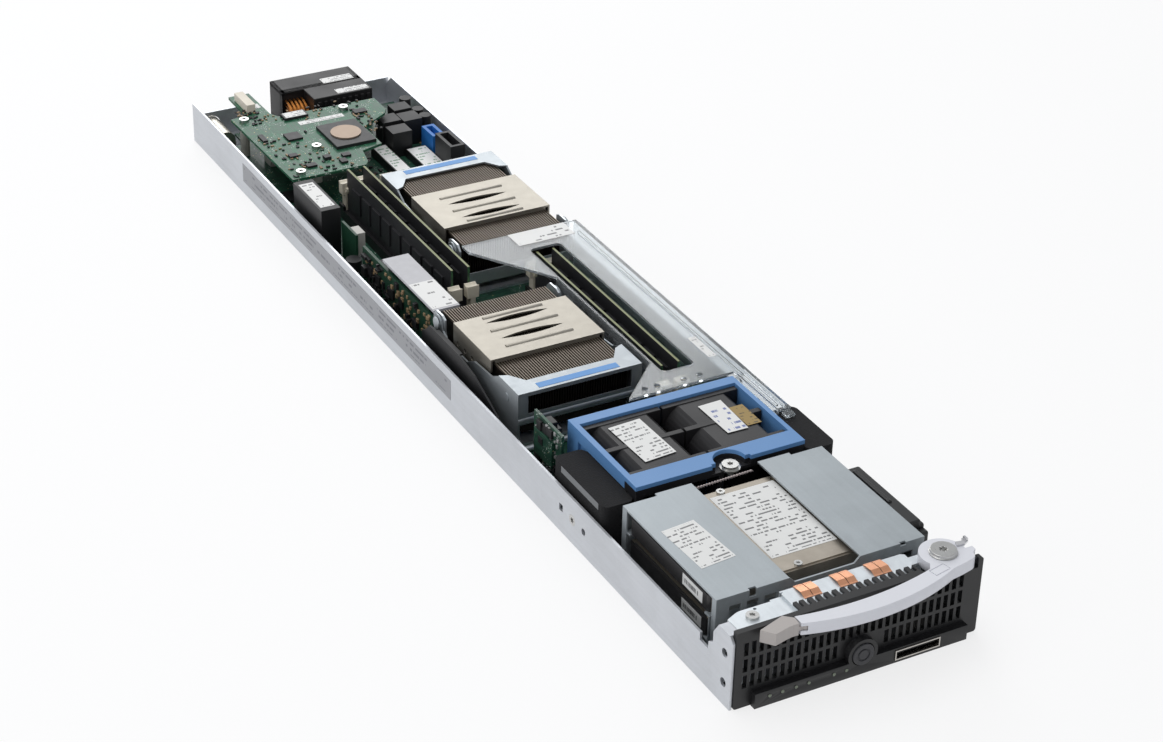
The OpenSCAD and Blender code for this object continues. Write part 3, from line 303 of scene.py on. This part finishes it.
def printed(name, paper, ink, line, mark, margin, size, fade=0.0):
    """Paper with rows of short generic marks: line is the pitch of the rows and mark
    the length of a typical mark, margin and size the printed part, in millimetres."""
    sheet = Finish(name)
    split = sheet.node("SeparateXYZ", None, {0: sheet.place()})
    x, y = (Link(sheet, split.socket.node.outputs[i]) for i in (0, 1))
    row = sheet.math_floor(y / line)
    cells = sheet.node("CombineXYZ", None, {0: x / mark, 1: row * 7.31, 2: 3.7})
    word = sheet.node("TexNoise", None, {"Vector": cells, "Scale": 1, "Detail": 1})
    letters = sheet.node("CombineXYZ", None, {0: x / (mark * 0.16), 1: row * 3.7, 2: 9.1})
    stroke = sheet.node("TexNoise", None, {"Vector": letters, "Scale": 1, "Detail": 0})
    word_from, stroke_from, row_low, row_high = 0.47 + fade, 0.42, line * 0.3, line * 0.72
    inked = (word > word_from) * (stroke > stroke_from) * between(y % line, row_low, row_high)
    inked = inked * between(x, margin, size[0] - margin) * between(y, margin, size[1] - margin)
    shade = sheet.noise(14, 2)
    toned = sheet.mix(shade * 0.35, paper, tuple(c * 0.93 for c in paper))
    sheet.set(Base_Color=sheet.mix(inked * 0.8, toned, ink), Roughness=0.42 + shade * 0.1)
    return sheet


def flat_label(name, finish, x, y, z, body="blade"):
    """A label that lies level, given by its spans in x and y and its height."""
    return sticker(name, finish, [(x[0], y[0], z), (x[1], y[0], z), (x[1], y[1], z),
                                  (x[0], y[1], z)], body=body)


def bricks(name, finish, spans, bevel=0.25, body="blade"):
    """Small moulded blocks of one piece, each from its spans in x, y and z."""
    bm = bmesh.new()
    for span in spans:
        low, high = (spot(*[axis[end] for axis in span]) for end in (0, 1))
        made = bmesh.ops.create_cube(bm, size=1)["verts"]
        bmesh.ops.scale(bm, vec=high - low, verts=made)
        bmesh.ops.translate(bm, vec=(low + high) / 2, verts=made)
    whole = mesh_piece(name, bm, finish)
    rounded = whole.modifiers.new("round", "BEVEL")
    rounded.width = bevel * MM
    rounded.segments = 2
    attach(whole, body)
    return whole


def skin(name, strands, finish, smooth=0):
    """Closed strands of one piece. Each is a row of rings, and each ring a round of
    points in the blade's millimetres."""
    bm = bmesh.new()
    for strand in strands:
        rings = [[bm.verts.new(spot(*point)) for point in ring] for ring in strand]
        for one, two in zip(rings, rings[1:]):
            for k in range(len(one)):
                after = (k + 1) % len(one)
                bm.faces.new((one[k], one[after], two[after], two[k]))
        bm.faces.new(rings[0][::-1])
        bm.faces.new(rings[-1])
    bmesh.ops.recalc_face_normals(bm, faces=bm.faces)
    made = mesh_piece(name, bm, finish, smooth)
    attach(made, "blade")
    return made


strip_y, strip_z = (272, 547), (8, 19.5)
strip_size = (strip_y[1] - strip_y[0], strip_z[1] - strip_z[0])
wall_label = printed("wall_label", tint(150, 151, 155), tint(104, 106, 112), 3.6, 12, 2,
                     strip_size, fade=0.02)
left_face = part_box("base_tray")[0].x / MM
sticker("side_rating_strip", wall_label,
        [(left_face, strip_y[1], strip_z[0]), (left_face, strip_y[0], strip_z[0]),
         (left_face, strip_y[0], strip_z[1]), (left_face, strip_y[1], strip_z[1])])

# --------------------------------------------------------------------- small screws
# Nickel-plated star-drive screws: one flush in the left wall, the rest face up in
# the boards, the bracket and the drive.
def metal(name, tone, roughness, metallic=1.0, grain=0.6):
    """Bare or plated metal with a fine uneven sheen."""
    steel = Finish(name)
    cloud, speck = steel.noise(7, 3), steel.noise(grain, 2)
    dark, bright = (tuple(min(1, c * k) for c in tone) for k in (0.78, 1.12))
    steel.set(Base_Color=steel.mix(cloud * 0.7 + speck * 0.3, dark, bright), Metallic=metallic,
              Roughness=roughness + speck * 0.12 - 0.06, Normal=steel.bump(speck, 0.01, 0.3))
    return steel


screw_steel = metal("screw_steel", tint(200, 200, 198), 0.3)
dress(screw_steel, "small_screws")

# -------------------------------------------------------------------- front bracket
# A pressed zinc plate that bridges the bezel and carries the lever's pivot.
bracket_zinc = plated("bracket_zinc", tint(222, 228, 232), metal=0.6)
dress(bracket_zinc, "front_bracket")

# ------------------------------------------------------------------------- bezel
# Injection-moulded black plastic with a satin, slightly grained face.
def plastic(name, tone, roughness=0.45, grain=0.35, depth=0.03, contrast=0.18):
    """Moulded plastic: an even colour with fine grain and faint handling marks."""
    moulded = Finish(name)
    cloud, pores = moulded.noise(16, 3), moulded.noise(grain, 2)
    dark, bright = (tuple(min(1, c * k) for c in tone) for k in (1 - contrast, 1 + contrast))
    moulded.set(Base_Color=moulded.mix(cloud * 0.6 + pores * 0.4, dark, bright),
                Roughness=roughness + cloud * 0.16 + pores * 0.06 - 0.1,
                Normal=moulded.bump(pores, depth, 0.5))
    return moulded


bezel_black = plastic("bezel_black", tint(19, 19, 21), 0.46)
dress(bezel_black, "front_bezel")
ease_edges(0.25, "front_bezel")

# ---------------------------------------------------------------- EMI spring fingers
# Pairs of thin copper-alloy springs that ground the blade against its enclosure.
finger_copper = metal("finger_copper", tint(226, 164, 128), 0.3, metallic=0.8)
dress(finger_copper, "emi_fingers")

# --------------------------------------------------------------------- ejector lever
# A die-cast lever in pale grey paint, with rounded edges, and its moulded tip.
lever_paint = plastic("lever_paint", tint(222, 223, 229), 0.4, 0.5, 0.02, 0.04)
dress(lever_paint, "ejector_lever")
ease_edges(0.9, "ejector_lever")
tip_plastic = plastic("tip_plastic", tint(176, 170, 166), 0.5, 0.4, 0.03, 0.07)
dress(tip_plastic, "lever_release_tip")
ease_edges(0.7, "lever_release_tip")
dress(screw_steel, "lever_pivot_screw")
ease_edges(0.3, "lever_pivot_screw")
hook_zinc = metal("hook_zinc", tint(214, 214, 216), 0.32)
dress(hook_zinc, "lever_hook")

# ------------------------------------------------- power button, port and indicators
button_plastic = plastic("button_plastic", tint(46, 46, 50), 0.45)
dress(button_plastic, "power_button")
ease_edges(0.4, "power_button")
shell_steel = metal("shell_steel", tint(196, 192, 186), 0.28)
dress(shell_steel, "io_connector_shell")
port_black = plastic("port_black", tint(24, 24, 26), 0.5)
dress(port_black, "io_connector_core")
light_pipe = Finish("light_pipe", Base_Color=tint(150, 160, 140), Roughness=0.25,
                    Transmission_Weight=0.4)
dress(light_pipe, "status_light_pipes")

# ------------------------------------------------------------------------ main board
# Dark green solder mask over copper traces, with rows of vias and printed marks.
def circuit_board(name, mask, bright, pitch=3.0, edge=None):
    """A circuit board: solder mask over traces that run both ways, vias and marks."""
    board = Finish(name)
    x, y, z = board.axes()
    patch = board.noise(26, 1)
    lane = board.noise(pitch * 0.4, 0, stretch=(1, 0.09, 1))
    cross = board.noise(pitch * 0.4, 0, stretch=(0.09, 1, 1))
    traces = (lane > 0.54) * (patch > 0.47) + (cross > 0.55) * (patch < 0.5)
    dots = board.node("TexVoronoi", {"feature": "F1"}, {
        "Vector": board.node("VectorMath", {"operation": "SCALE"},
                             {0: board.place(), "Scale": 1 / pitch}), "Scale": 1}, "Distance")
    vias = (dots < 0.13) * (board.noise(11, 1) > 0.5)
    silk = (board.noise(0.8, 0) > 0.7) * (board.noise(9, 1) > 0.57)
    colour = board.mix(traces * 0.55, mask, bright)
    colour = board.mix(vias, colour, tint(196, 186, 140))
    colour = board.mix(silk * 0.8, colour, tint(214, 222, 214))
    board.set(Base_Color=colour, Roughness=0.46 + traces * 0.08, Metallic=vias * 0.6,
              Normal=board.bump(traces + vias, 0.03, 0.6), Coat_Weight=0.08)
    return board


main_green = circuit_board("main_board_green", tint(22, 62, 48), tint(42, 96, 72))
dress(main_green, "main_board")
chip_black = plastic("chip_black", tint(24, 24, 26), 0.5, 0.25, 0.02)
dress(chip_black, "board_chips", "board_power_parts")
socket_black = plastic("socket_black", tint(18, 18, 20), 0.45)
standoff_steel = metal("standoff_steel", tint(190, 186, 176), 0.35)
dress(standoff_steel, "board_standoffs")


def colour_by_box(name, first, patches, roughness=0.45):
    """One finish for a group of parts; each patch is (colour, x, y, z spans)."""
    group = Finish(name)
    x, y, z = group.axes()
    colour = group.mix(group.noise(8, 2), *(tuple(c * k for c in first) for k in (0.8, 1.2)))
    for tone, *spans in patches:
        inside = 1
        for axis, span in zip((x, y, z), spans):
            if span:
                inside = between(axis, *span) * inside
        grainy = group.mix(group.noise(5, 2), *(tuple(c * k for c in tone) for k in (0.88, 1.1)))
        colour = group.mix(inside, colour, grainy)
    group.set(Base_Color=colour, Roughness=roughness + group.noise(3, 2) * 0.1,
              Normal=group.bump(group.noise(0.4, 2), 0.02, 0.4))
    return group


ivory = tint(222, 214, 198)
connector_colours = colour_by_box("connector_colours", ivory, [
    (tint(38, 112, 190), (49, 59), (529, 547), None),
    (tint(36, 36, 38), (48, 59), (502, 525), None)])
dress(connector_colours, "board_connectors")

# -------------------------------------------------------------------- drive cage
# Grey zinc sheet whose two top flaps hold down a pair of 2.5-inch drives.
cage_zinc = plated("cage_zinc", tint(166, 173, 177), metal=0.5, roughness=0.42)
dress(cage_zinc, "drive_cage")
ease_edges(0.25, "drive_cage")

# ------------------------------------------------------------------------- drives
# Two cast aluminium drives, one above the other, with stamped lids and dark left
# ends. The upper lid, the cage and both ends carry paper labels with generic marks.
drive_case = metal("drive_case", tint(170, 162, 150), 0.38, metallic=0.8)
x, y, z = drive_case.axes()
side_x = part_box("upper_drive")[0].x / MM + 1.2
case_tone = drive_case.mix(drive_case.noise(9, 3), tint(150, 142, 130), tint(186, 178, 166))
drive_case.set(Base_Color=drive_case.mix(x < side_x, case_tone, tint(38, 37, 38)),
               Metallic=(x > side_x) * 0.8)
dress(drive_case, "upper_drive", "lower_drive")
ease_edges(0.4, "upper_drive")
paper, ink = tint(226, 226, 224), tint(60, 60, 64)
drive_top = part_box("upper_drive")[1].z / MM
flat_label("drive_label", printed("drive_paper", paper, ink, 2.6, 9, 1.2, (34.5, 54)),
           (-16.5, 18), (46.7, 100.6), drive_top)
cage_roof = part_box("drive_cage")[1].z / MM
sticker("cage_label", printed("cage_paper", paper, ink, 2.4, 7, 1, (19, 33)),
        [(-50.5, 50.7, cage_roof), (-31.7, 52.6, cage_roof), (-34.2, 85.4, cage_roof),
         (-52, 83.7, cage_roof)])
end_y = (41, 58)
for count, name in enumerate(("lower_drive", "upper_drive"), 1):
    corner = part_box(name)[0] / MM
    end_x, low, high = corner.x, corner.z + 1.6, corner.z + 7.4
    end_paper = printed(f"drive_end_paper_{count}", paper, ink, 5.5, 1.6, 0.6, (17, 6))
    sticker(f"drive_end_label_{count}", end_paper,
            [(end_x, end_y[1], low), (end_x, end_y[0], low), (end_x, end_y[0], high),
             (end_x, end_y[1], high)])

# The block beside the cage that joins the drives to the board: a long black body with
# a lower right edge, a low rib on top and a nose at its front end.
block_y, block_floor = (42, 93), 1.2
connector_body = bricks("drive_connector_body", socket_black, [
    ((53, 60.6), block_y, (block_floor, 36)), ((59, 62.8), block_y, (block_floor, 33.4)),
    ((54.6, 57.2), (60, 90), (35, 36.9)), ((53, 62.6), (38, 43), (block_floor, 31.5))], 0.9)
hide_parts("drive_connector_block")

# A twisted pair of thin wires that crosses the gap between the cage's two flaps.
coils, steps, around = 11, 88, 6
wire_r, coil_r, wire_z = 0.34, 0.42, 36.6
wire_from, wire_run = (-20.5, 109.4), (33.5, 1.4)


def wire_ring(phase, share):
    turned = phase + share * coils * 2 * math.pi
    x = wire_from[0] + wire_run[0] * share
    y = wire_from[1] + wire_run[1] * share + coil_r * math.cos(turned)
    z = wire_z + coil_r * math.sin(turned)
    angles = [k * 2 * math.pi / around for k in range(around)]
    return [(x, y + wire_r * math.cos(a), z + wire_r * math.sin(a)) for a in angles]


skin("retaining_wire",
     [[wire_ring(phase, step / steps) for step in range(steps + 1)] for phase in (0, math.pi)],
     metal("wire_steel", tint(178, 168, 166), 0.35), smooth=50)

# ------------------------------------------------------------------------ fan unit
# A blue moulded frame that carries two black counter-rotating fans between soft
# black foam blocks.
frame_blue = plastic("frame_blue", tint(92, 138, 190), 0.4, 0.5, 0.03, 0.06)
x, y, z = frame_blue.axes()
rim_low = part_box("fan_frame")[1].z / MM - 2.2
front_wall_rear = 128.5
# Painted shade: below the rim, the front face of the blue frame is coloured near-black for the dark
# shadowed gap between the frame and the cage, not for a colour the frame has.
painted_gap_shade = (z < rim_low) * (y < front_wall_rear)
blue = frame_blue.mix(frame_blue.noise(0.5, 2), tint(84, 130, 184), tint(98, 146, 198))
frame_blue.set(Base_Color=frame_blue.mix(painted_gap_shade, blue, tint(28, 28, 31)))
dress(frame_blue, "fan_frame")
ease_edges(0.6, "fan_frame")
fan_black = plastic("fan_black", tint(27, 26, 28), 0.46, 0.3)
dress(fan_black, "fan_housing_left", "fan_housing_right")
ease_edges(0.4, "fan_housing_left", "fan_housing_right")
rotor_black = plastic("rotor_black", tint(20, 20, 22), 0.4)
dress(rotor_black, "fan_rotor_left_front", "fan_rotor_left_rear", "fan_rotor_right_front",
      "fan_rotor_right_rear")
foam = Finish("foam")
cells = foam.node("TexVoronoi", {"feature": "F1"}, {
    "Vector": foam.node("VectorMath", {"operation": "SCALE"}, {0: foam.place(), "Scale": 1.6}),
    "Scale": 1}, "Distance")
pores = cells * 0.8 + foam.noise(9, 2) * 0.4
foam.set(Base_Color=foam.mix(pores, tint(10, 10, 11), tint(30, 30, 32)),
         Roughness=0.95, Normal=foam.bump(cells, 0.25, 0.7))
dress(foam, "fan_isolator_left", "fan_isolator_right")
dress(screw_steel, "fan_captive_screw")
fan_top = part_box("fan_housing_left")[1].z / MM
sticker("fan_label_left", printed("fan_paper_left", paper, ink, 2.7, 6, 1, (18, 34)),
        [(-29.7, 136.8, fan_top), (-12.2, 138.2, fan_top), (-13.2, 171.5, fan_top),
         (-31, 170.5, fan_top)])
fan_paper = printed("fan_paper_right", paper, tint(30, 70, 150), 4.4, 5, 1, (12, 27))
sticker("fan_label_right", fan_paper,
        [(18.1, 141.4, fan_top), (29.4, 141.2, fan_top), (30.5, 168.9, fan_top),
         (17.6, 168.5, fan_top)])
fan_gold = printed("fan_gold", tint(150, 124, 62), tint(60, 50, 30), 2.4, 4, 0.6, (9, 18))
flat_label("fan_label_gold", fan_gold, (30.2, 38), (143, 161), fan_top - 0.1)
foam_strip = plastic("foam_strip", tint(120, 122, 124), 0.7)
foam_x, low, high = -61.6, 29, 32.4
sticker("isolator_strip", foam_strip,
        [(foam_x, 160, low), (foam_x, 124, low), (foam_x, 124, high), (foam_x, 160, high)])

# ------------------------------------------------------------------ processor units
# Each processor lies under a finned heatsink. A champagne-coloured plate bridges the
# fins, and a zinc bail with a blue strip swings over the end and clamps it down.
processor_lid = metal("processor_lid", tint(178, 180, 178), 0.3)
dress(processor_lid, "front_processor", "rear_processor")
socket_zinc = plated("socket_zinc", tint(206, 212, 216), metal=0.7)
dress(socket_zinc, "front_socket_frame", "rear_socket_frame")
fin_metal = metal("fin_metal", tint(110, 100, 90), 0.38, metallic=0.7)
x, y, z = fin_metal.axes()
# Painted shade: the fins are coloured much darker below a thin band at their top edges, for the
# shade in the narrow gaps between them, and only the tips keep the lit metal tone.
fin_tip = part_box("front_heatsink")[1].z / MM - 1.3
painted_fin_shade = fin_metal.mix(fin_metal.noise(6, 2), tint(34, 30, 27), tint(58, 51, 46))
fin_metal.set(Base_Color=fin_metal.mix(z > fin_tip, painted_fin_shade, tint(112, 102, 91)))
dress(fin_metal, "front_heatsink", "rear_heatsink")
bail_zinc = plated("bail_zinc", tint(152, 158, 162), metal=0.7)
dress(bail_zinc, "front_clamp_bail", "rear_clamp_bail")
ease_edges(0.3, "front_clamp_bail", "rear_clamp_bail")
champagne = metal("champagne", tint(157, 152, 142), 0.38, metallic=0.75, grain=1.2)
dress(champagne, "front_clamp_plate", "rear_clamp_plate")
ease_edges(0.35, "front_clamp_plate", "rear_clamp_plate")
strip_blue = plastic("strip_blue", tint(92, 148, 208), 0.5, 0.5, 0.01, 0.06)
bail_top, strip_x, strip_from_end = 38.3, (-22, 23), (2.5, 7)
for unit in ("front", "rear"):
    low, high = (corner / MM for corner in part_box(f"{unit}_clamp_bail"))
    middle = (low.x + high.x) / 2
    near, far = strip_from_end
    if unit == "front":
        rows = (low.y - face_y + near, low.y - face_y + far)
    else:
        rows = (high.y - face_y - far, high.y - face_y - near)
    flat_label(f"{unit}_bail_strip", strip_blue, (middle + strip_x[0], middle + strip_x[1]),
               rows, bail_top, body=f"{unit}_bail")

# -------------------------------------------------------------------------- memory
# Four modules in black sockets with ivory latches.
dress(socket_black, "memory_sockets")
module_x = [sum(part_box(f"latch_{i}_front")[k].x for k in (0, 1)) / 2 / MM for i in (1, 2, 3, 4)]
module_finish = Finish("memory_module")
x, y, z = module_finish.axes()
board_half, contact_top, edge_low = 0.62, 11.4, 37.7
in_board = 0
for centre in module_x:
    in_board = between(x, centre - board_half, centre + board_half) + in_board
contacts = (z < contact_top) * ((y % 1.0) > 0.4)
board_face = module_finish.mix(module_finish.noise(2.2, 1, stretch=(1, 0.2, 1)) > 0.55,
                               tint(30, 66, 42), tint(52, 92, 58))
board_face = module_finish.mix(z > edge_low, board_face, tint(126, 132, 88))
board_face = module_finish.mix(contacts, board_face, tint(214, 176, 96))
module_finish.set(Base_Color=module_finish.mix(in_board, tint(40, 40, 43), board_face),
                  Roughness=0.4 + module_finish.noise(3, 2) * 0.15, Metallic=contacts * 0.7)
dress(module_finish, "memory_modules")
latch_ivory = plastic("latch_ivory", tint(216, 208, 190), 0.42, 0.4, 0.02, 0.05)
dress(latch_ivory, *[f"latch_{i}_{end}" for i in (1, 2, 3, 4) for end in ("front", "rear")])

# ---------------------------------------------------------------------- air guides
# A clear moulded baffle leads the air over the memory and along the right side.
clear = Finish("clear_polycarbonate", Base_Color=tint(226, 231, 234), Roughness=0.12,
               Transmission_Weight=0.9, IOR=1.3)
clear.set(Normal=clear.bump(clear.noise(9, 2), 0.2, 0.15))
dress(clear, "air_baffle")
baffle_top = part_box("air_baffle")[1].z / MM - 1
flat_label("baffle_label_rear", printed("baffle_paper", paper, ink, 3.2, 10, 1.2, (34, 14), 0.08),
           (15, 49), (351, 365), baffle_top)
flat_label("baffle_label_side", printed("baffle_side_paper", paper, ink, 2.4, 3, 0.8, (4.5, 21)),
           (45.6, 50.1), (205, 226), baffle_top)
duct_plastic = plastic("duct_plastic", tint(24, 24, 26), 0.55)
dress(duct_plastic, "air_duct_plate")

# ------------------------------------------------------------------ mezzanine board
mezz_green = circuit_board("mezzanine_green", tint(22, 78, 54), tint(58, 120, 90), 2.6)
dress(mezz_green, "mezzanine_board")
mezz_colours = colour_by_box("mezzanine_colours", tint(30, 30, 32), [
    (ivory, (-44, -37), (591, 613), (27, 40)),
    (tint(186, 184, 176), None, None, (0, 26.3))])
x, y, z = mezz_colours.axes()
lid_x, lid_y, lid_r, lid_foot = -2.7, 538.4, 9.05, 29.95
on_lid = ((x - lid_x) ** 2 + (y - lid_y) ** 2 < lid_r ** 2) * (z > lid_foot)
under_lid = Link(mezz_colours, mezz_colours.shader.inputs["Base Color"].links[0].from_socket)
mezz_colours.set(Base_Color=mezz_colours.mix(on_lid, under_lid, tint(158, 140, 124)),
                 Metallic=on_lid * 0.6)
dress(mezz_colours, "mezzanine_parts")
mezz_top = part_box("mezzanine_board")[1].z / MM
tag_paper = printed("tag_paper", paper, ink, 2.2, 4, 0.5, (28, 10))
flat_label("mezzanine_tag_long", tag_paper, (-21, 7.5), (563, 567.5), mezz_top)
flat_label("mezzanine_tag_chip", tag_paper, (-26, -13), (572.4, 579.2), mezz_top + 1.6)
flat_label("mezzanine_tag_rear", tag_paper, (-36.5, -32.5), (596, 602), mezz_top)

# -------------------------------------------------------------------- other boards
power_colours = colour_by_box("power_colours", tint(24, 24, 26), [
    (tint(186, 186, 190), (-53, -37), (316, 380), (32.8, 35)),
    (tint(20, 60, 42), (-53, -50.9), (316, 406), (6, 30.5)),
    (tint(20, 60, 42), (-49.5, -47.9), (420, 441), (6, 29)),
    (tint(190, 188, 182), (-48, -42), (423, 434), (12, 28))])
dress(power_colours, "power_modules")
flat_label("power_plate_label", printed("power_paper", paper, ink, 3.6, 8, 1.2, (15, 29), 0.05),
           (-52.4, -37.7), (318, 347), 34.4)
flat_label("converter_label", printed("converter_paper", paper, ink, 3, 6, 1, (8.5, 31), 0.03),
           (-58.6, -50), (447, 478), 35)
board_paper = printed("board_paper", paper, tint(70, 130, 90), 3.4, 8, 1, (12, 36), -0.04)
flat_label("module_label_1", board_paper, (18.1, 26.4), (510, 547), 12)
flat_label("module_label_2", board_paper, (36, 48), (512, 537), 11.4)
riser_green = circuit_board("riser_green", tint(20, 58, 44), tint(44, 92, 70), 2.4)
dress(riser_green, "riser_card")
dress(standoff_steel, "guide_bush")

# -------------------------------------------------------------------- rear connector
# A black socket that opens to the rear, on a body that steps forward over its feet.
# At the left end the bent bronze leads lie bare.
connector_black = plastic("connector_black", tint(20, 19, 21), 0.5)
socket_x, socket_y, socket_z = (-14.5, 38), (606, 626), (6.3, 29.4)
side_t, top_t, base_t = 2.5, 2.5, 4
body_x, body_y = (socket_x[0] + 14, socket_x[1]), (590, socket_y[0] + 1)
shell = [(socket_x, (socket_y[0], 611), socket_z),
         (socket_x, socket_y, (socket_z[0], socket_z[0] + base_t)),
         (socket_x, socket_y, (socket_z[1] - top_t, socket_z[1])),
         ((socket_x[0], socket_x[0] + side_t), socket_y, socket_z),
         ((socket_x[1] - side_t, socket_x[1]), socket_y, socket_z),
         (body_x, body_y, socket_z),
         ((socket_x[0], 0), body_y, (socket_z[0], 9.3))]
shell += [((x, x + 2.2), (589.2, 590.4), (9, 27)) for x in range(2, 36, 4)]
socket_shell = bricks("signal_socket", connector_black, shell, 0.4)
contact_gold = metal("contact_gold", tint(202, 156, 92), 0.32)
pin_w = 0.8
pins = [((x, x + pin_w), (610.5, 620), (z, z + pin_w))
        for x in range(-9, 35, 3) for z in (12, 16, 20, 24)]
bricks("signal_contacts", contact_gold, pins, 0.1)
lead_turns, lead_w, lead_t, lead_foot, lead_pitch = 8, 1.3, 0.6, 8.8, 2.5


def bent_lead(left, reach):
    """A flat lead that leaves the socket level and bends down in a quarter circle."""
    rings = []
    for k in range(lead_turns + 1):
        angle = k * math.pi / 2 / lead_turns
        y, z = socket_y[0] - reach * math.sin(angle), lead_foot + reach * math.cos(angle)
        rings.append([(left, y, z), (left + lead_w, y, z), (left + lead_w, y, z + lead_t),
                      (left, y, z + lead_t)])
    return rings


skin("signal_leads",
     [bent_lead(-13 + row * lead_pitch, reach)
      for row in range(5) for reach in (6.5, 9.5, 12.5, 15.2)],
     metal("lead_bronze", tint(196, 128, 66), 0.34))
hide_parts("rear_connector")
flat_label("socket_label_rear", tag_paper, (14, 34), (608.5, 615.5), 29.4)
flat_label("socket_label_front", tag_paper, (16, 36.5), (591.5, 597.5), 29.4)

# ---------------------------------------------------------------------- small parts
# Surface-mounted parts a few millimetres long lie scattered over all the boards, and
# stand on the two upright cards.
def scatter(name, finish, areas, z, count, largest, seed):
    """Parts that stand on a level board, each in one of its free areas."""
    draw = random.Random(seed)
    spans = []
    for _ in range(count):
        x, y = draw.choice(areas)
        long, wide = draw.uniform(1.2, largest), draw.uniform(0.8, largest * 0.6)
        if draw.random() < 0.5:
            long, wide = wide, long
        at_x, at_y = draw.uniform(x[0], x[1] - long), draw.uniform(y[0], y[1] - wide)
        tall = draw.uniform(0.5, 0.4 * largest)
        spans.append(((at_x, at_x + long), (at_y, at_y + wide), (z - 0.05, z + tall)))
    return bricks(name, finish, spans, 0.1)


open_board = [((-62, -54), (190, 226)), ((-62, -55), (320, 440)), ((-62, -50), (486, 600)),
              ((0, 16), (495, 560)), ((28, 60), (486, 508)), ((50, 60), (480, 585)),
              ((-40, 40), (187, 196)), ((-8, 30), (300, 356))]
board_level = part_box("main_board")[1].z / MM
part_tan = plastic("part_tan", tint(150, 126, 96), 0.5)
part_grey = metal("part_grey", tint(176, 176, 176), 0.4, metallic=0.6)
scatter("chip_resistors", chip_black, open_board, board_level, 170, 3.6, 11)
scatter("chip_capacitors", part_tan, open_board, board_level, 150, 2.6, 12)
scatter("board_cans", part_grey, open_board, board_level, 60, 4.2, 13)
open_mezz = [((-52, -12), (500, 520)), ((-52, -20), (520, 556)), ((-48, -20), (574, 586)),
             ((12, 22), (536, 566)), ((-18, 24), (567, 586)), ((-50, -36), (588, 596))]
scatter("mezzanine_resistors", chip_black, open_mezz, mezz_top, 110, 2.4, 14)
scatter("mezzanine_capacitors", part_tan, open_mezz, mezz_top, 90, 1.8, 15)


def upright_parts(name, finish, face_x, y, z, count, largest, seed):
    """Parts on an upright card's face that looks to the left wall."""
    draw = random.Random(seed)
    spans = []
    for _ in range(count):
        long, tall = draw.uniform(1, largest), draw.uniform(1, largest)
        at_y, at_z = draw.uniform(y[0], y[1] - long), draw.uniform(z[0], z[1] - tall)
        thick = draw.uniform(0.6, 0.45 * largest)
        spans.append(((face_x - thick, face_x + 0.1), (at_y, at_y + long), (at_z, at_z + tall)))
    return bricks(name, finish, spans, 0.12)


power_face, riser_face, riser_y, riser_z = -52.6, -53, (177, 203), (10, 36)
upright_parts("power_card_chips", chip_black, power_face, (332, 404), (9, 29.5), 34, 6.5, 21)
upright_parts("power_card_capacitors", part_tan, power_face, (318, 404), (12, 29.5), 60, 2.4, 22)
upright_parts("riser_card_chips", chip_black, riser_face, riser_y, riser_z, 16, 5.5, 23)
upright_parts("riser_card_capacitors", part_grey, riser_face, riser_y, riser_z, 34, 2, 24)
bricks("riser_plug", socket_black, [((-51.6, -46.4), (187.5, 199), (11, 33.5)),
                                    ((-51.6, -47.5), (190, 197), (33, 36))], 0.4)
